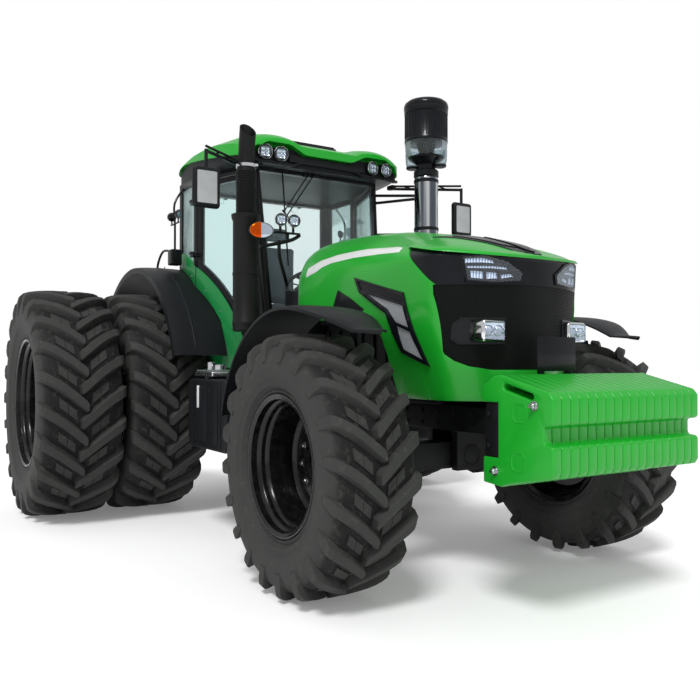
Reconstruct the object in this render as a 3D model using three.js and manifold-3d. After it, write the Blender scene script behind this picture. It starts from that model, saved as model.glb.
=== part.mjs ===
// A four-wheel-drive farm tractor with rear dual wheels, an enclosed cab, front ballast and a rear hitch.
// Millimetres, +X forward, +Y left, +Z up. The origin is on the ground at the middle of the footprint.
import * as THREE from "three";
import { mergeVertices } from "three/addons/utils/BufferGeometryUtils.js";
import Module from "manifold-3d";

const wasm = await Module();
wasm.setup();

// ---- Driving dimensions ----

const wheelbase = 3210;
// A station measured forward from the rear axle.
const aft = (distance) => distance - wheelbase;
const frontOverhang = 1344; // front axle to the face of the ballast
const rearOverhang = 1200; // rear axle to the ends of the lower links
const seat = 0.3; // gap between pieces that rest on each other
const pinGap = 0.5; // gap at pins, bosses and sliding rods

// Across values are half widths, measured from the middle of the tractor.
const frontWheel = {
  radius: 742.5,
  width: 530,
  beadRadius: 381,
  flange: 22,
  inside: 810, // inner face of the tyre
  disc: -78, // disc plane, from the middle of the wheel, outward positive
  hubRadius: 165,
  hubFace: -20,
};
frontWheel.middle = frontWheel.inside + frontWheel.width / 2;
const rearWheel = {
  radius: 970,
  width: 670,
  beadRadius: 533.5,
  flange: 14,
  middle: 1095,
  outerMiddle: 1805,
  disc: -40,
  hubRadius: 250,
};
const rimWall = 10;
const discWall = 16;
const tyreFacets = 24;

const kingpin = { across: 640, bossRadius: 75, bossHalf: 145, pinRadius: 30, earWall: 36 };
const steerArm = { reach: 200, inset: 20, wall: 30, top: -40 };
const frontFender = { radius: 890, wall: 14, inner: 850, outer: 1280, facets: 18 };
const axleBeam = { halfDepth: 80, low: -90, high: 75 };

const frame = { half: 240, low: 905, high: 1060, rear: aft(2520), front: 620 };
const carrier = { rear: 880, front: 979, low: 842, high: 1119, half: 545, neckHalf: 200 };
const ballast = { half: 556, low: 700, high: 1260, hook: 860 };
const engine = { rear: aft(2060), front: 150, half: 280, high: 1800 };
const radiator = { rear: 200, front: 330, half: 340, low: 1180, high: 1850 };
const gearbox = { rear: aft(-290), half: 250, low: 700, high: 1199 };

const hood = { rear: aft(1910), nose: 755, rearHigh: 2200, wall: 20, hinge: aft(1960) };
const panelGap = seat; // the grille and the lamp band sit in the hood

const cab = { floorLow: 1199.3, floorHigh: 1250, rear: aft(230), wall: 30, roofLow: 2955, railLow: 2880 };
const pillar = {
  frontTop: aft(1400),
  lean: 0.122,
  width: 62,
  middle: aft(690),
  middleWidth: 70,
  rearWidth: 62,
};
const cabPlan = [
  [aft(1610), 511],
  [aft(690), 830],
  [aft(230), 800],
]; // outer face of the cab's side, seen from above, [x, half width]
const doorGap = 6;
const doorHinge = { x: pillar.middle + 20, across: 865, heights: [2250, 2700] };
const windowHinge = { x: cab.rear - 12, z: 2884 };
const doorSwing = 1380; // the door's lower edge follows this radius about the rear axle
const doorSill = 1280;
const doorFrame = 45;
const glassWall = 8;
const archRadius = 1225; // underside of the cab's wheel arch, about the rear axle
const rearFender = { wall: 22, lipDepth: 62, outer: 1170, front: 19, rear: 140 };
const archPlate = { inner: 690.3, wall: 24, shelf: 15, front: aft(1030) };
const cowl = { front: aft(1900), rear: aft(1570), half: 400, low: 1300, high: 1890 };
const windscreenLow = 1700;

const tank = { front: aft(1970), rear: aft(1210), half: 1080, low: 662, high: 1192 };
const stack = { x: aft(1710), across: 800, sleeve: 100, low: 1550, sleeveHigh: 2440, pipe: 73, pipeHigh: 2960 };
const cleaner = {
  x: aft(1880),
  across: 800,
  pipe: 102,
  low: 1550,
  neckHigh: 2960,
  bowlLow: 3060,
  high: 3550,
  bowl: 185,
};
const mirror = { x: aft(1910), inner: 1090, outer: 1290, low: 2360, high: 2760, wall: 60 };

const linkEye = 42;
const link = {
  pivotX: aft(-180),
  pivotZ: 550,
  endX: aft(linkEye - rearOverhang),
  endZ: 620,
  across: 360,
  wall: 40,
  eye: linkEye,
  pin: 16,
};
const liftArm = { pivotX: aft(-120), pivotZ: 1180, share: 0.47, shaft: 40, halfWidth: 32 };
const drawbarSize = { high: 470, wall: 40, half: 45, front: aft(160), rear: aft(-990) };
const pto = { radius: 17.5, z: 720, rear: aft(-390) };

// ---- Placement ----

const frontAxleX = (frontOverhang + wheelbase + rearOverhang) / 2 - frontOverhang;
const rearAxle = { x: -wheelbase, z: rearWheel.radius };
const frontAxle = { x: 0, z: frontWheel.radius };

// ---- Solids ----

// A closed geometry as a solid, with the slivers that a lathe leaves on its axis dropped.
function solidOf(geometry) {
  const bare = geometry.index ? geometry.toNonIndexed() : geometry.clone();
  const plain = new THREE.BufferGeometry().setAttribute("position", bare.getAttribute("position"));
  const merged = mergeVertices(plain, 1e-3);
  const index = merged.index.array;
  const triangles = [];
  for (let i = 0; i < index.length; i += 3) {
    const [a, b, c] = [index[i], index[i + 1], index[i + 2]];
    if (a !== b && b !== c && a !== c) triangles.push(a, b, c);
  }
  return new wasm.Manifold(
    new wasm.Mesh({
      numProp: 3,
      vertProperties: merged.attributes.position.array,
      triVerts: new Uint32Array(triangles),
    }),
  );
}

function geometryOf(solid) {
  const mesh = solid.getMesh();
  const geometry = new THREE.BufferGeometry();
  const positions = new Float32Array(mesh.numVert * 3);
  for (let i = 0; i < mesh.numVert; i++) {
    positions.set(mesh.vertProperties.subarray(i * mesh.numProp, i * mesh.numProp + 3), i * 3);
  }
  geometry.setAttribute("position", new THREE.BufferAttribute(positions, 3));
  geometry.setIndex(new THREE.BufferAttribute(new Uint32Array(mesh.triVerts), 1));
  geometry.computeVertexNormals();
  return geometry;
}

function join(...solids) {
  return solids.reduce((whole, next) => whole.add(next));
}

// A box between two corners, whichever way round they are given.
function box([x0, y0, z0], [x1, y1, z1]) {
  const size = [Math.abs(x1 - x0), Math.abs(y1 - y0), Math.abs(z1 - z0)];
  return solidOf(new THREE.BoxGeometry(...size).translate((x0 + x1) / 2, (y0 + y1) / 2, (z0 + z1) / 2));
}

// A round bar between two points, with another radius at its far end if one is given.
function bar(from, to, radius, sides = 14, farRadius = radius) {
  const start = new THREE.Vector3(...from);
  const along = new THREE.Vector3(...to).sub(start);
  const geometry = new THREE.CylinderGeometry(farRadius, radius, along.length(), sides);
  const turn = new THREE.Quaternion().setFromUnitVectors(new THREE.Vector3(0, 1, 0), along.clone().normalize());
  const middle = start.addScaledVector(along, 0.5);
  return solidOf(geometry.applyQuaternion(turn).translate(middle.x, middle.y, middle.z));
}

// The radius of a bore with flat facets that a pin of a radius turns in freely.
function boreRadius(radius, sides) {
  return (radius + seat) / Math.cos(Math.PI / sides);
}

const acrossPlane = {
  x: [[0, 1, 0], [0, 0, 1], [1, 0, 0]],
  y: [[1, 0, 0], [0, 0, 1], [0, -1, 0]],
  z: [[1, 0, 0], [0, 1, 0], [0, 0, 1]],
};

// An outline pushed along an axis: [y, z] pairs along x, [x, z] pairs along y, [x, y] pairs along z.
function prism(axis, outline, from, to) {
  const low = Math.min(from, to);
  const high = Math.max(from, to);
  const shape = new THREE.Shape(outline.map(([a, b]) => new THREE.Vector2(a, b)));
  const geometry = new THREE.ExtrudeGeometry(shape, { depth: high - low, bevelEnabled: false });
  const basis = acrossPlane[axis].map((column) => new THREE.Vector3(...column));
  const place = new THREE.Matrix4().makeBasis(...basis);
  const shift = { x: [low, 0, 0], y: [0, high, 0], z: [0, 0, low] }[axis];
  return solidOf(geometry.applyMatrix4(place).translate(...shift));
}

// A profile of [radius, along] pairs turned about the Y axis. A profile off the axis closes on itself.
function turned(profile, facets, start = 0) {
  const closed = profile[0][0] > 0 ? [...profile, profile[0]] : profile;
  let area = 0;
  closed.forEach(([r, y], i) => {
    const [nextR, nextY] = closed[(i + 1) % closed.length];
    area += r * nextY - nextR * y;
  });
  const ordered = area > 0 ? closed : [...closed].reverse();
  const points = ordered.map(([r, y]) => new THREE.Vector2(r, y));
  return solidOf(new THREE.LatheGeometry(points, facets, start));
}

// Points of a circle's arc about a centre, in degrees from +x towards +z.
function arc([x, z], radius, fromAngle, toAngle, facets) {
  return Array.from({ length: facets + 1 }, (_, i) => {
    const angle = THREE.MathUtils.degToRad(fromAngle + ((toAngle - fromAngle) * i) / facets);
    return [x + radius * Math.cos(angle), z + radius * Math.sin(angle)];
  });
}

function archOutline(centre, inner, outer, fromAngle, toAngle, facets) {
  return [
    ...arc(centre, inner, fromAngle, toAngle, facets),
    ...arc(centre, outer, toAngle, fromAngle, facets),
  ];
}

// The same shape on the other side: half widths are given as positive numbers.
const right = -1;
const left = 1;
const sides = [
  ["right", right],
  ["left", left],
];

// ---- Materials ----

function finish(color, roughness, metalness) {
  return new THREE.MeshStandardMaterial({ color, roughness, metalness });
}

const paint = finish(0x24b034, 0.35, 0.1);
const rubber = finish(0x2e3030, 0.9, 0);
const blackGloss = finish(0x0c0c0d, 0.25, 0.3);
const blackPlastic = finish(0x1a1c20, 0.6, 0);
const casting = finish(0x17181a, 0.6, 0.3);
const steel = finish(0x8c9094, 0.35, 0.9);
const chrome = finish(0xd8dadc, 0.1, 1);
const glass = new THREE.MeshStandardMaterial({
  color: 0xa8d4cf,
  roughness: 0.05,
  metalness: 0,
  transparent: true,
  opacity: 0.35,
});
const cloth = finish(0x2a2c30, 0.9, 0);

const tractor = new THREE.Group();
tractor.position.x = frontAxleX;

function place(name, solid, material, [x, y, z] = [0, 0, 0]) {
  const mesh = new THREE.Mesh(geometryOf(solid), material);
  mesh.name = name;
  mesh.position.set(x, y, z);
  tractor.add(mesh);
  return mesh;
}

// ---- Wheels ----

// A hollow carcass, open towards the rim. The facets put a flat one at the bottom.
function tyre(wheel) {
  const { radius, width, beadRadius, flange } = wheel;
  const half = width / 2;
  const bead = half - 62;
  const wall = 32;
  const crown = radius / Math.cos(Math.PI / tyreFacets);
  const height = crown - beadRadius;
  const outside = [
    [beadRadius + seat, bead],
    [beadRadius + flange + 8, bead],
    [beadRadius + height * 0.5, half],
    [crown - 55, half - 6],
    [crown, half - 60],
  ];
  const inside = [
    [beadRadius + seat, bead - wall],
    [beadRadius + height * 0.5, half - wall],
    [crown - 60, half - 80],
  ];
  const mirrored = (points) => points.map(([r, y]) => [r, -y]).reverse();
  const profile = [...outside, ...mirrored(outside), ...mirrored(inside).reverse(), ...[...inside].reverse()];
  return turned(profile, tyreFacets, Math.PI / tyreFacets);
}

// The barrel with its two flanges, which hold the beads.
function barrel(wheel) {
  const { width, beadRadius, flange } = wheel;
  const bead = width / 2 - 62 + seat;
  const edge = bead + 12;
  const well = beadRadius - 38;
  return turned(
    [
      [beadRadius + flange, -edge],
      [beadRadius + flange, -bead],
      [beadRadius, -bead],
      [well, -bead + 100],
      [well, bead - 100],
      [beadRadius, bead],
      [beadRadius + flange, bead],
      [beadRadius + flange, edge],
      [beadRadius - rimWall, edge],
      [well - rimWall, bead - 106],
      [well - rimWall, -bead + 106],
      [beadRadius - rimWall, -edge],
    ],
    tyreFacets,
    Math.PI / tyreFacets,
  );
}

function disc(wheel, along) {
  return turned(
    [
      [0, along - discWall / 2],
      [wheel.beadRadius - 38 - rimWall / 2, along - discWall / 2],
      [wheel.beadRadius - 38 - rimWall / 2, along + discWall / 2],
      [0, along + discWall / 2],
    ],
    tyreFacets,
    Math.PI / tyreFacets,
  );
}

function hub(radius, from, to, facets = 20) {
  return turned([[0, from], [radius, from], [radius, to - 12], [radius - 14, to], [0, to]], facets);
}

const spindleEnd = frontWheel.middle + frontWheel.disc - 46; // where the turning hub meets the knuckle
const axleEnd = 830; // where the rear axle's turning hub meets its trumpet

for (const [label, side] of sides) {
  const spin = (solid) => (side === right ? solid.mirror([0, 1, 0]) : solid);
  const { middle, disc: frontDisc, hubRadius, hubFace } = frontWheel;
  const frontSpot = [frontAxle.x, side * middle, frontAxle.z];
  place(`tyre_front_${label}`, spin(tyre(frontWheel)), rubber, frontSpot);
  const frontRim = join(
    barrel(frontWheel),
    disc(frontWheel, frontDisc),
    hub(hubRadius, spindleEnd - middle + pinGap, hubFace),
  );
  place(`rim_front_${label}`, spin(frontRim), blackGloss, frontSpot);

  const spacing = rearWheel.outerMiddle - rearWheel.middle;
  const innerSpot = [rearAxle.x, side * rearWheel.middle, rearAxle.z];
  const outerSpot = [rearAxle.x, side * rearWheel.outerMiddle, rearAxle.z];
  place(`tyre_rear_inner_${label}`, spin(tyre(rearWheel)), rubber, innerSpot);
  place(`tyre_rear_outer_${label}`, spin(tyre(rearWheel)), rubber, outerSpot);
  const rearRims = join(
    barrel(rearWheel),
    disc(rearWheel, rearWheel.disc),
    hub(rearWheel.hubRadius, axleEnd - rearWheel.middle + pinGap, spacing + rearWheel.disc + 60),
    disc(rearWheel, spacing + rearWheel.disc),
    barrel(rearWheel).translate([0, spacing, 0]),
  );
  place(`rims_rear_${label}`, spin(rearRims), blackGloss, innerSpot);
}

// ---- Front axle ----

const armZ = frontAxle.z + steerArm.top - steerArm.wall; // underside of the steering arms
const rodEye = 38;
const rodRadius = 18;
const rodZ = armZ - pinGap - rodEye / 2;

function frontAxleBeam() {
  const { across, bossRadius, bossHalf, pinRadius } = kingpin;
  const z = frontAxle.z;
  const beam = prism(
    "x",
    [
      [-across, z - 60], [-420, z + axleBeam.low], [420, z + axleBeam.low], [across, z - 60],
      [across, z + 60], [420, z + axleBeam.high], [-420, z + axleBeam.high], [-across, z + 60],
    ],
    -axleBeam.halfDepth,
    axleBeam.halfDepth,
  );
  const differential = bar([0, 140, z], [0, 400, z], 150, 16);
  const trunnion = bar([-150, 0, z], [150, 0, z], 62, 16);
  const cylinder = bar([-steerArm.reach, -230, rodZ], [-steerArm.reach, 230, rodZ], 44, 14);
  const lugs = [-170, 170].map((y) => box([-steerArm.reach, y - 20, rodZ - 20], [0, y + 20, rodZ + 40]));
  let solid = join(beam, differential, trunnion, cylinder, ...lugs);
  const sleeve = bar([-steerArm.reach, -300, rodZ], [-steerArm.reach, 300, rodZ], rodRadius + pinGap, 12);
  solid = solid.subtract(sleeve);
  for (const side of [right, left]) {
    const y = side * across;
    solid = solid.add(bar([0, y, z - bossHalf], [0, y, z + bossHalf], bossRadius, 16));
    for (const up of [-1, 1]) {
      const mouth = [0, y, z + up * (bossHalf + 10)];
      solid = solid.subtract(bar([0, y, z + up * (bossHalf - 60)], mouth, boreRadius(pinRadius, 12), 12));
    }
  }
  return solid;
}

// The knuckle's ears hold the beam's boss between two pins, its drum carries the wheel, and its post the fender.
function knuckle(side) {
  const { across, bossRadius, bossHalf, pinRadius, earWall } = kingpin;
  const z = frontAxle.z;
  const y = side * across;
  const cheek = side * (across + 92);
  const cheekOut = side * (across + 150);
  const ears = [-1, 1].flatMap((up) => {
    const near = z + up * (bossHalf + pinGap);
    const far = near + up * earWall;
    return [
      bar([0, y, near], [0, y, far], bossRadius + 5, 16),
      box([-70, y, near], [70, cheekOut, far]),
      bar([0, y, z + up * (bossHalf - 55)], [0, y, near + up], pinRadius, 12),
    ];
  });
  const housing = bar([0, cheek, z], [0, cheekOut, z], bossHalf + earWall, 18);
  const drum = bar([0, cheekOut, z], [0, side * spindleEnd, z], 150, 18, 130);
  const armTop = z + steerArm.top;
  const tip = [-steerArm.reach, side * (across - steerArm.inset)];
  const arm = prism(
    "z",
    [
      [-50, side * (across + 95)], [-50, side * (across + 145)], [-110, side * (across + 130)],
      [tip[0] - 28, tip[1] + side * 20], [tip[0] - 28, tip[1] - side * 24],
      [tip[0] + 26, tip[1] - side * 24], [tip[0] + 30, tip[1] + side * 16],
    ],
    armZ,
    armTop,
  );
  const underFender = frontFender.radius * Math.cos(Math.PI / 60) - seat;
  const post = box([-42, side * (across + 120), z + 100], [42, cheekOut, z + underFender]);
  const shelf = box([-42, side * (across + 120), z + underFender - 24], [42, side * 1150, z + underFender]);
  return join(...ears, housing, drum, arm, post, shelf);
}

function steeringRod() {
  const reach = kingpin.across - steerArm.inset;
  const x = -steerArm.reach;
  const rod = bar([x, -reach, rodZ], [x, reach, rodZ], rodRadius, 12);
  const eyes = [-reach, reach].map((y) => bar([x, y, rodZ - rodEye / 2], [x, y, rodZ + rodEye / 2], 30, 14));
  return join(rod, ...eyes);
}

// An arched mudguard whose front end sweeps inward to a point.
function frontFenderSolid(side) {
  const { radius, wall, inner, outer, facets } = frontFender;
  const arch = archOutline([frontAxle.x, frontAxle.z], radius, radius + wall, 57, 165, facets);
  const plan = [
    [-1000, side * inner], [-1000, side * outer], [120, side * outer], [250, side * (outer - 35)],
    [380, side * 1090], [520, side * 930], [520, side * 905], [330, side * (inner + 15)],
  ];
  const top = frontAxle.z + radius + wall + 10;
  return prism("y", arch, side * inner, side * outer).intersect(prism("z", plan, frontAxle.z, top));
}

place("front_axle_beam", frontAxleBeam(), casting);
place("steering_rod", steeringRod(), steel);
for (const [label, side] of sides) {
  place(`knuckle_${label}`, knuckle(side), casting);
  place(`front_fender_${label}`, frontFenderSolid(side), blackPlastic);
}

// ---- Chassis ----

function frontFrame() {
  const { half, low, high, rear, front } = frame;
  const z = frontAxle.z;
  const rails = box([rear, -half, low], [front, half, high]);
  const saddles = [-1, 1].map((end) => box([end * 95, -120, z - 100], [end * 150, 120, low + 10]));
  const neck = box([front - 10, -carrier.neckHalf, low - 20], [carrier.rear + 10, carrier.neckHalf, high]);
  const bracket = box(
    [carrier.rear, -carrier.half, carrier.low], [carrier.front - seat, carrier.half, carrier.high],
  );
  const seats = bar([-190, 0, z], [190, 0, z], 62 + seat, 16);
  return join(rails, ...saddles, neck, bracket).subtract(seats);
}

// Suitcase weights hang side by side on the carrier by an upper and a lower hook.
function frontWeights() {
  const face = frontOverhang;
  const outline = [
    [1050, ballast.low + 20], [face - 14, 780], [face, 800], [face, 922], [face - 60, 930],
    [face - 60, 1020], [face, 1028], [face, 1165], [face - 20, 1180], [1000, ballast.high],
    [ballast.hook, 1190], [ballast.hook, carrier.high + seat], [carrier.front, carrier.high + seat],
    [carrier.front, carrier.low - seat], [ballast.hook + 10, carrier.low - seat],
    [ballast.hook + 10, ballast.low + 10], [1000, ballast.low],
  ];
  return prism("y", outline, -ballast.half, ballast.half);
}

// The engine with its cooling pack, one plain block, and the bracket that the hood hinges on.
function engineBlock() {
  const low = frame.high + seat;
  const block = box([engine.rear, -engine.half, low], [engine.front, engine.half, engine.high]);
  const shroud = box([engine.front - 10, -240, 1200], [radiator.rear + 10, 240, 1700]);
  const core = box([radiator.rear, -radiator.half, radiator.low], [radiator.front, radiator.half, radiator.high]);
  const underHood = hood.rearHigh - hood.wall - seat;
  const post = box([engine.rear, -60, engine.high - 10], [engine.rear + 60, 60, underHood]);
  const tongue = box([hood.hinge, -60, underHood - 60], [engine.rear + 60, 60, underHood]);
  return join(block, shroud, core, post, tongue);
}

// Gearbox, final drive, axle trumpets, rockshaft housing and the lower hitch lugs in one casting.
function transmission() {
  const { rear, half, low, high } = gearbox;
  const front = engine.rear - seat;
  const main = prism(
    "y",
    [
      [front, low + 200], [front, 1640], [front - 60, 1640], [front - 60, high], [aft(90), high],
      [aft(90), 1060], [rear, 1060], [rear, low - 60], [aft(60), low - 60], [aft(160), low], [aft(1710), low],
    ],
    -half,
    half,
  );
  const trumpets = bar([rearAxle.x, -axleEnd, rearAxle.z], [rearAxle.x, axleEnd, rearAxle.z], 150, 18);
  const { pivotX, pivotZ, shaft } = liftArm;
  const shaftHousing = bar([pivotX, -half, pivotZ], [pivotX, half, pivotZ], shaft + 40, 16);
  const shaftBed = box([pivotX - 70, -half, 1000], [pivotX + 70, half, pivotZ]);
  const bore = bar([pivotX, -half - 10, pivotZ], [pivotX, half + 10, pivotZ], boreRadius(shaft, 16), 16);
  const lugs = [right, left].flatMap((side) => {
    const face = side * (link.across - link.wall / 2 - pinGap);
    const pinEnd = side * (link.across + link.wall / 2 + 15);
    return [
      box([link.pivotX - 45, side * (half - 20), link.pivotZ - 50], [link.pivotX + 60, face, low]),
      bar([link.pivotX, side * half, link.pivotZ], [link.pivotX, pinEnd, link.pivotZ], link.pin, 12),
    ];
  });
  return join(main, trumpets, shaftHousing, shaftBed, ...lugs).subtract(bore);
}

place("front_frame", frontFrame(), casting);
place("front_weights", frontWeights(), paint);
place("engine_block", engineBlock(), casting);
place("transmission", transmission(), casting);

// ---- Hood ----

// The outer form is what three views share: from the side, from above and from the front.
function hoodForm(inset) {
  const side = [
    [hood.rear - inset, 1100 - inset], [690 - inset, 1100 - inset], [730 - inset, 1180],
    [hood.nose - inset, 1560], [hood.nose - inset, 1800], [hood.nose + 10 - inset, 1905],
    [640, 1965 - inset], [300, 2085 - inset], [-200, 2170 - inset], [-700, 2205 - inset],
    [hood.rear - inset, hood.rearHigh - inset],
  ];
  const nosePoints = Array.from({ length: 9 }, (_, i) => {
    const y = (570 - inset) * (1 - i / 4);
    return [hood.nose + 15 - inset - 0.00078 * (y * y), y];
  });
  const above = [
    [hood.rear - inset, 455 - inset], [-600, 545 - inset], [0, 598 - inset], [350, 600 - inset],
    ...nosePoints,
    [350, inset - 600], [0, inset - 598], [-600, inset - 545], [hood.rear - inset, inset - 455],
  ];
  const half = [
    [395, 1090 - inset], [500, 1300], [580, 1400], [600, 1560], [600, 1850], [560, 1990],
    [440, 2100], [260, 2170], [0, 2210],
  ].map(([y, z]) => [Math.max(0, y - inset), z > 2000 ? z - inset : z]);
  const front = [...half, ...half.slice(0, -1).reverse().map(([y, z]) => [-y, z])];
  return prism("y", side, -700, 700)
    .intersect(prism("z", above, 1000, 2300))
    .intersect(prism("x", front, hood.rear - 40, hood.nose + 40));
}

// Where the grille and the lamp band break the nose, seen from the front, grown by a margin.
function nosePanel(zPairs, margin) {
  const half = zPairs.map(([y, z, up]) => [y + margin, z + up * margin]);
  return prism("x", [...half, ...[...half].reverse().map(([y, z]) => [-y, z])], 330, hood.nose + 60);
}
const grilleEdge = [[430, 1290, -1], [545, 1380, -1], [568, 1765, 1]];
const bandEdge = [[568, 1775, -1], [572, 1840, 1], [420, 1930, 1], [200, 1915, 1]];

// Behind the nose the side panels stop above the front wheels.
const wheelCut = [
  [hood.rear - 60, 1000], [230, 1000], [190, 1100], [100, 1300], [20, 1500], [-60, 1560],
  [-500, 1600], [hood.rear - 60, 1640],
];

const hoodHollow = hoodForm(hood.wall);
const hoodSkin = hoodForm(0)
  .subtract(hoodHollow)
  .subtract(box([aft(1210), -350, 1000], [690, 350, 1150]))
  .subtract(prism("y", wheelCut, -700, 700));
const noseBehind = box([aft(1710), -800, 900], [360, 800, 2300]);
place(
  "hood_shell",
  hoodSkin.subtract(nosePanel(grilleEdge, panelGap)).subtract(nosePanel(bandEdge, panelGap)),
  paint,
);
place("grille", hoodSkin.intersect(nosePanel(grilleEdge, 0)).subtract(noseBehind), blackPlastic);
place("headlight_band", hoodSkin.intersect(nosePanel(bandEdge, 0)).subtract(noseBehind), blackGloss);

// ---- Cab ----

// The cab's side wall is a strip seen from above; depth sets it back from the outer face.
function sideWall(side, low, high, wall = cab.wall, depth = 0) {
  const outer = cabPlan.map(([x, half]) => [x, side * (half - depth)]);
  const inner = cabPlan.map(([x, half]) => [x, side * (half - depth - wall)]);
  return prism("z", [...outer, ...inner.reverse()], low, high);
}

// The leaning front edge of the cab at a height.
function frontLine(z) {
  return pillar.frontTop + pillar.lean * (cab.roofLow - z);
}

// What lies within a radius of the rear axle, above the floor.
function withinArch(radius, half = 900) {
  const outline = arc([rearAxle.x, rearAxle.z], radius, -20, 200, 40);
  return prism("y", outline, -half, half);
}

// A slanted post of a width behind the cab's front edge.
function frontPost(from, width, low, high) {
  return [
    [frontLine(low) - from, low], [frontLine(high) - from, high],
    [frontLine(high) - from - width, high], [frontLine(low) - from - width, low],
  ];
}

function cabFrame() {
  const top = cab.roofLow - seat;
  const low = cab.floorHigh + seat;
  const parts = [right, left].flatMap((side) => {
    const wall = sideWall(side, low, top);
    const cut = (outline) => wall.intersect(prism("y", outline, side * 300, side * 900));
    const upright = (x0, x1, from) => cut([[x0, from], [x1, from], [x1, top], [x0, top]]);
    const railOutline = [
      [frontLine(cab.railLow), cab.railLow], [frontLine(top), top], [cab.rear, top], [cab.rear, cab.railLow],
    ];
    const hingeX = doorHinge.x;
    const lugs = doorHinge.heights.map((z) =>
      box([hingeX - 38, side * 815, z + pinGap], [hingeX + 10, side * (doorHinge.across + 12), z + 26]),
    );
    return [
      cut(frontPost(0, pillar.width, low, top)),
      upright(pillar.middle - pillar.middleWidth / 2, pillar.middle + pillar.middleWidth / 2, 1900),
      upright(cab.rear, cab.rear + pillar.rearWidth, 1900),
      cut(railOutline),
      box([cab.rear, side * 688, 1900], [cab.rear + cab.wall, side * 780, top]),
      ...lugs,
    ];
  });
  const header = prism("y", frontPost(0, pillar.width, cab.railLow, top), -560, 560);
  const rearHeader = box([cab.rear, -790, cab.railLow], [cab.rear + pillar.rearWidth, 790, top]);
  const windowLugs = [-1, 1].flatMap((end) =>
    [-1, 1].map((off) => {
      const y = end * 400 + off * 55;
      return box([cab.rear + 5, y - 14.5, 2872], [windowHinge.x - 10, y + 14.5, 2896]);
    }),
  );
  return join(...parts, header, rearHeader, ...windowLugs).subtract(withinArch(doorSwing - doorGap + seat));
}

// A door's outline from the side, shrunk by an inset: its lower rear edge is an arc about the rear axle.
function doorOutline(inset) {
  const top = cab.railLow - doorGap - inset;
  const sill = doorSill + inset;
  const backEdge = pillar.middle + pillar.middleWidth / 2 + doorGap + inset;
  const radius = doorSwing + inset;
  const from = THREE.MathUtils.radToDeg(Math.asin((sill - rearAxle.z) / radius));
  const to = THREE.MathUtils.radToDeg(Math.acos((backEdge - rearAxle.x) / radius));
  const behind = pillar.width + doorGap + inset;
  return [
    [frontLine(top) - behind, top], [frontLine(sill) - behind, sill],
    ...arc([rearAxle.x, rearAxle.z], radius, from, to, 14), [backEdge, top],
  ];
}

function door(side) {
  const wall = sideWall(side, cab.floorHigh, cab.roofLow);
  const whole = wall.intersect(prism("y", doorOutline(0), side * 300, side * 900));
  const window = prism("y", doorOutline(doorFrame), side * 300, side * 900);
  const straps = doorHinge.heights.flatMap((z) => [
    box([doorHinge.x + 27, side * 785, z - 24], [doorHinge.x + 62, side * (doorHinge.across + 12), z]),
    box([doorHinge.x - 12, side * 840, z - 24], [doorHinge.x + 62, side * (doorHinge.across + 12), z]),
  ]);
  return join(whole.subtract(window), ...straps);
}

function pane(side, outline) {
  const wall = sideWall(side, cab.floorHigh, cab.roofLow, glassWall, (cab.wall - glassWall) / 2);
  return wall.intersect(prism("y", outline, side * 300, side * 900));
}

function quarterOutline() {
  const front = pillar.middle - pillar.middleWidth / 2 - seat;
  const back = cab.rear + pillar.rearWidth + seat;
  const top = cab.railLow - seat;
  return [[front, 2000], [front, top], [back, top], [back, 2000]];
}

// The wall between the cab and the rear wheel: a plate, a shelf over the tyre and the arch band above it.
function innerFender(side) {
  const low = cab.floorHigh + seat;
  const plateOut = archPlate.inner + archPlate.wall;
  const plate = box([archPlate.front, side * archPlate.inner, cab.floorLow], [cab.rear, side * plateOut, 2300]);
  const arch = withinArch(archRadius);
  const shelfTop = withinArch(archRadius + archPlate.shelf);
  const shelfPlan = sideWall(side, cab.floorLow, 2300, 100).intersect(
    box([archPlate.front, side * archPlate.inner, cab.floorLow], [cab.rear, side * 900, 2300]),
  );
  const shelf = shelfPlan.intersect(shelfTop).subtract(arch);
  const clearance = arch.intersect(box([archPlate.front, -900, 0], [cab.rear - 100, 900, 2300]));
  const band = sideWall(side, low, 2600)
    .intersect(withinArch(doorSwing - doorGap))
    .subtract(clearance);
  const rearPlate = box([cab.rear, side * archPlate.inner, 2100], [cab.rear + cab.wall, side * 785, 2600])
    .intersect(withinArch(doorSwing - doorGap))
    .subtract(arch);
  return join(plate.intersect(shelfTop), shelf, band, rearPlate);
}

function rearFenderSolid(side) {
  const outer = archRadius - seat;
  const { wall, front, rear, lipDepth } = rearFender;
  const inner = archPlate.inner + archPlate.wall + seat;
  const edge = rearFender.outer;
  const reach = 3 * outer;
  const spread = arc([rearAxle.x, rearAxle.z], reach, front, rear, 3);
  const sector = prism("y", [[rearAxle.x, rearAxle.z], ...spread], side * inner, side * edge);
  const skin = withinArch(outer, edge).subtract(withinArch(outer - wall, edge));
  const lip = withinArch(outer, edge).subtract(withinArch(outer - lipDepth, edge));
  const rim = prism("y", [[rearAxle.x, rearAxle.z], ...spread], side * (edge - 14), side * edge);
  return sector.intersect(skin).add(rim.intersect(lip));
}

// Floor, firewall, cowl and the panel below the rear window.
function cabFloor() {
  const edge = archPlate.inner - seat;
  const reach = [aft(1100), 688];
  const floorHalf = [[cabPlan[0][0], cabPlan[0][1]], reach, [cab.rear, edge]];
  const plan = [...floorHalf, ...[...floorHalf].reverse().map(([x, y]) => [x, -y])];
  const slab = prism("z", plan, cab.floorLow, cab.floorHigh);
  const firewall = prism("y", frontPost(0, 40, cab.floorHigh - 10, windscreenLow), -470, 470);
  const cowlOutline = [
    [cowl.front, cowl.low], [cowl.front, cowl.high - 30], [cowl.rear, cowl.high], [cowl.rear, cowl.low],
  ];
  const cowlBox = prism("y", cowlOutline, -cowl.half, cowl.half);
  const rearPanel = box([cab.rear, -edge, cab.floorHigh - 10], [cab.rear + cab.wall, edge, 1880]);
  return join(slab, firewall, cowlBox, rearPanel);
}

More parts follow.
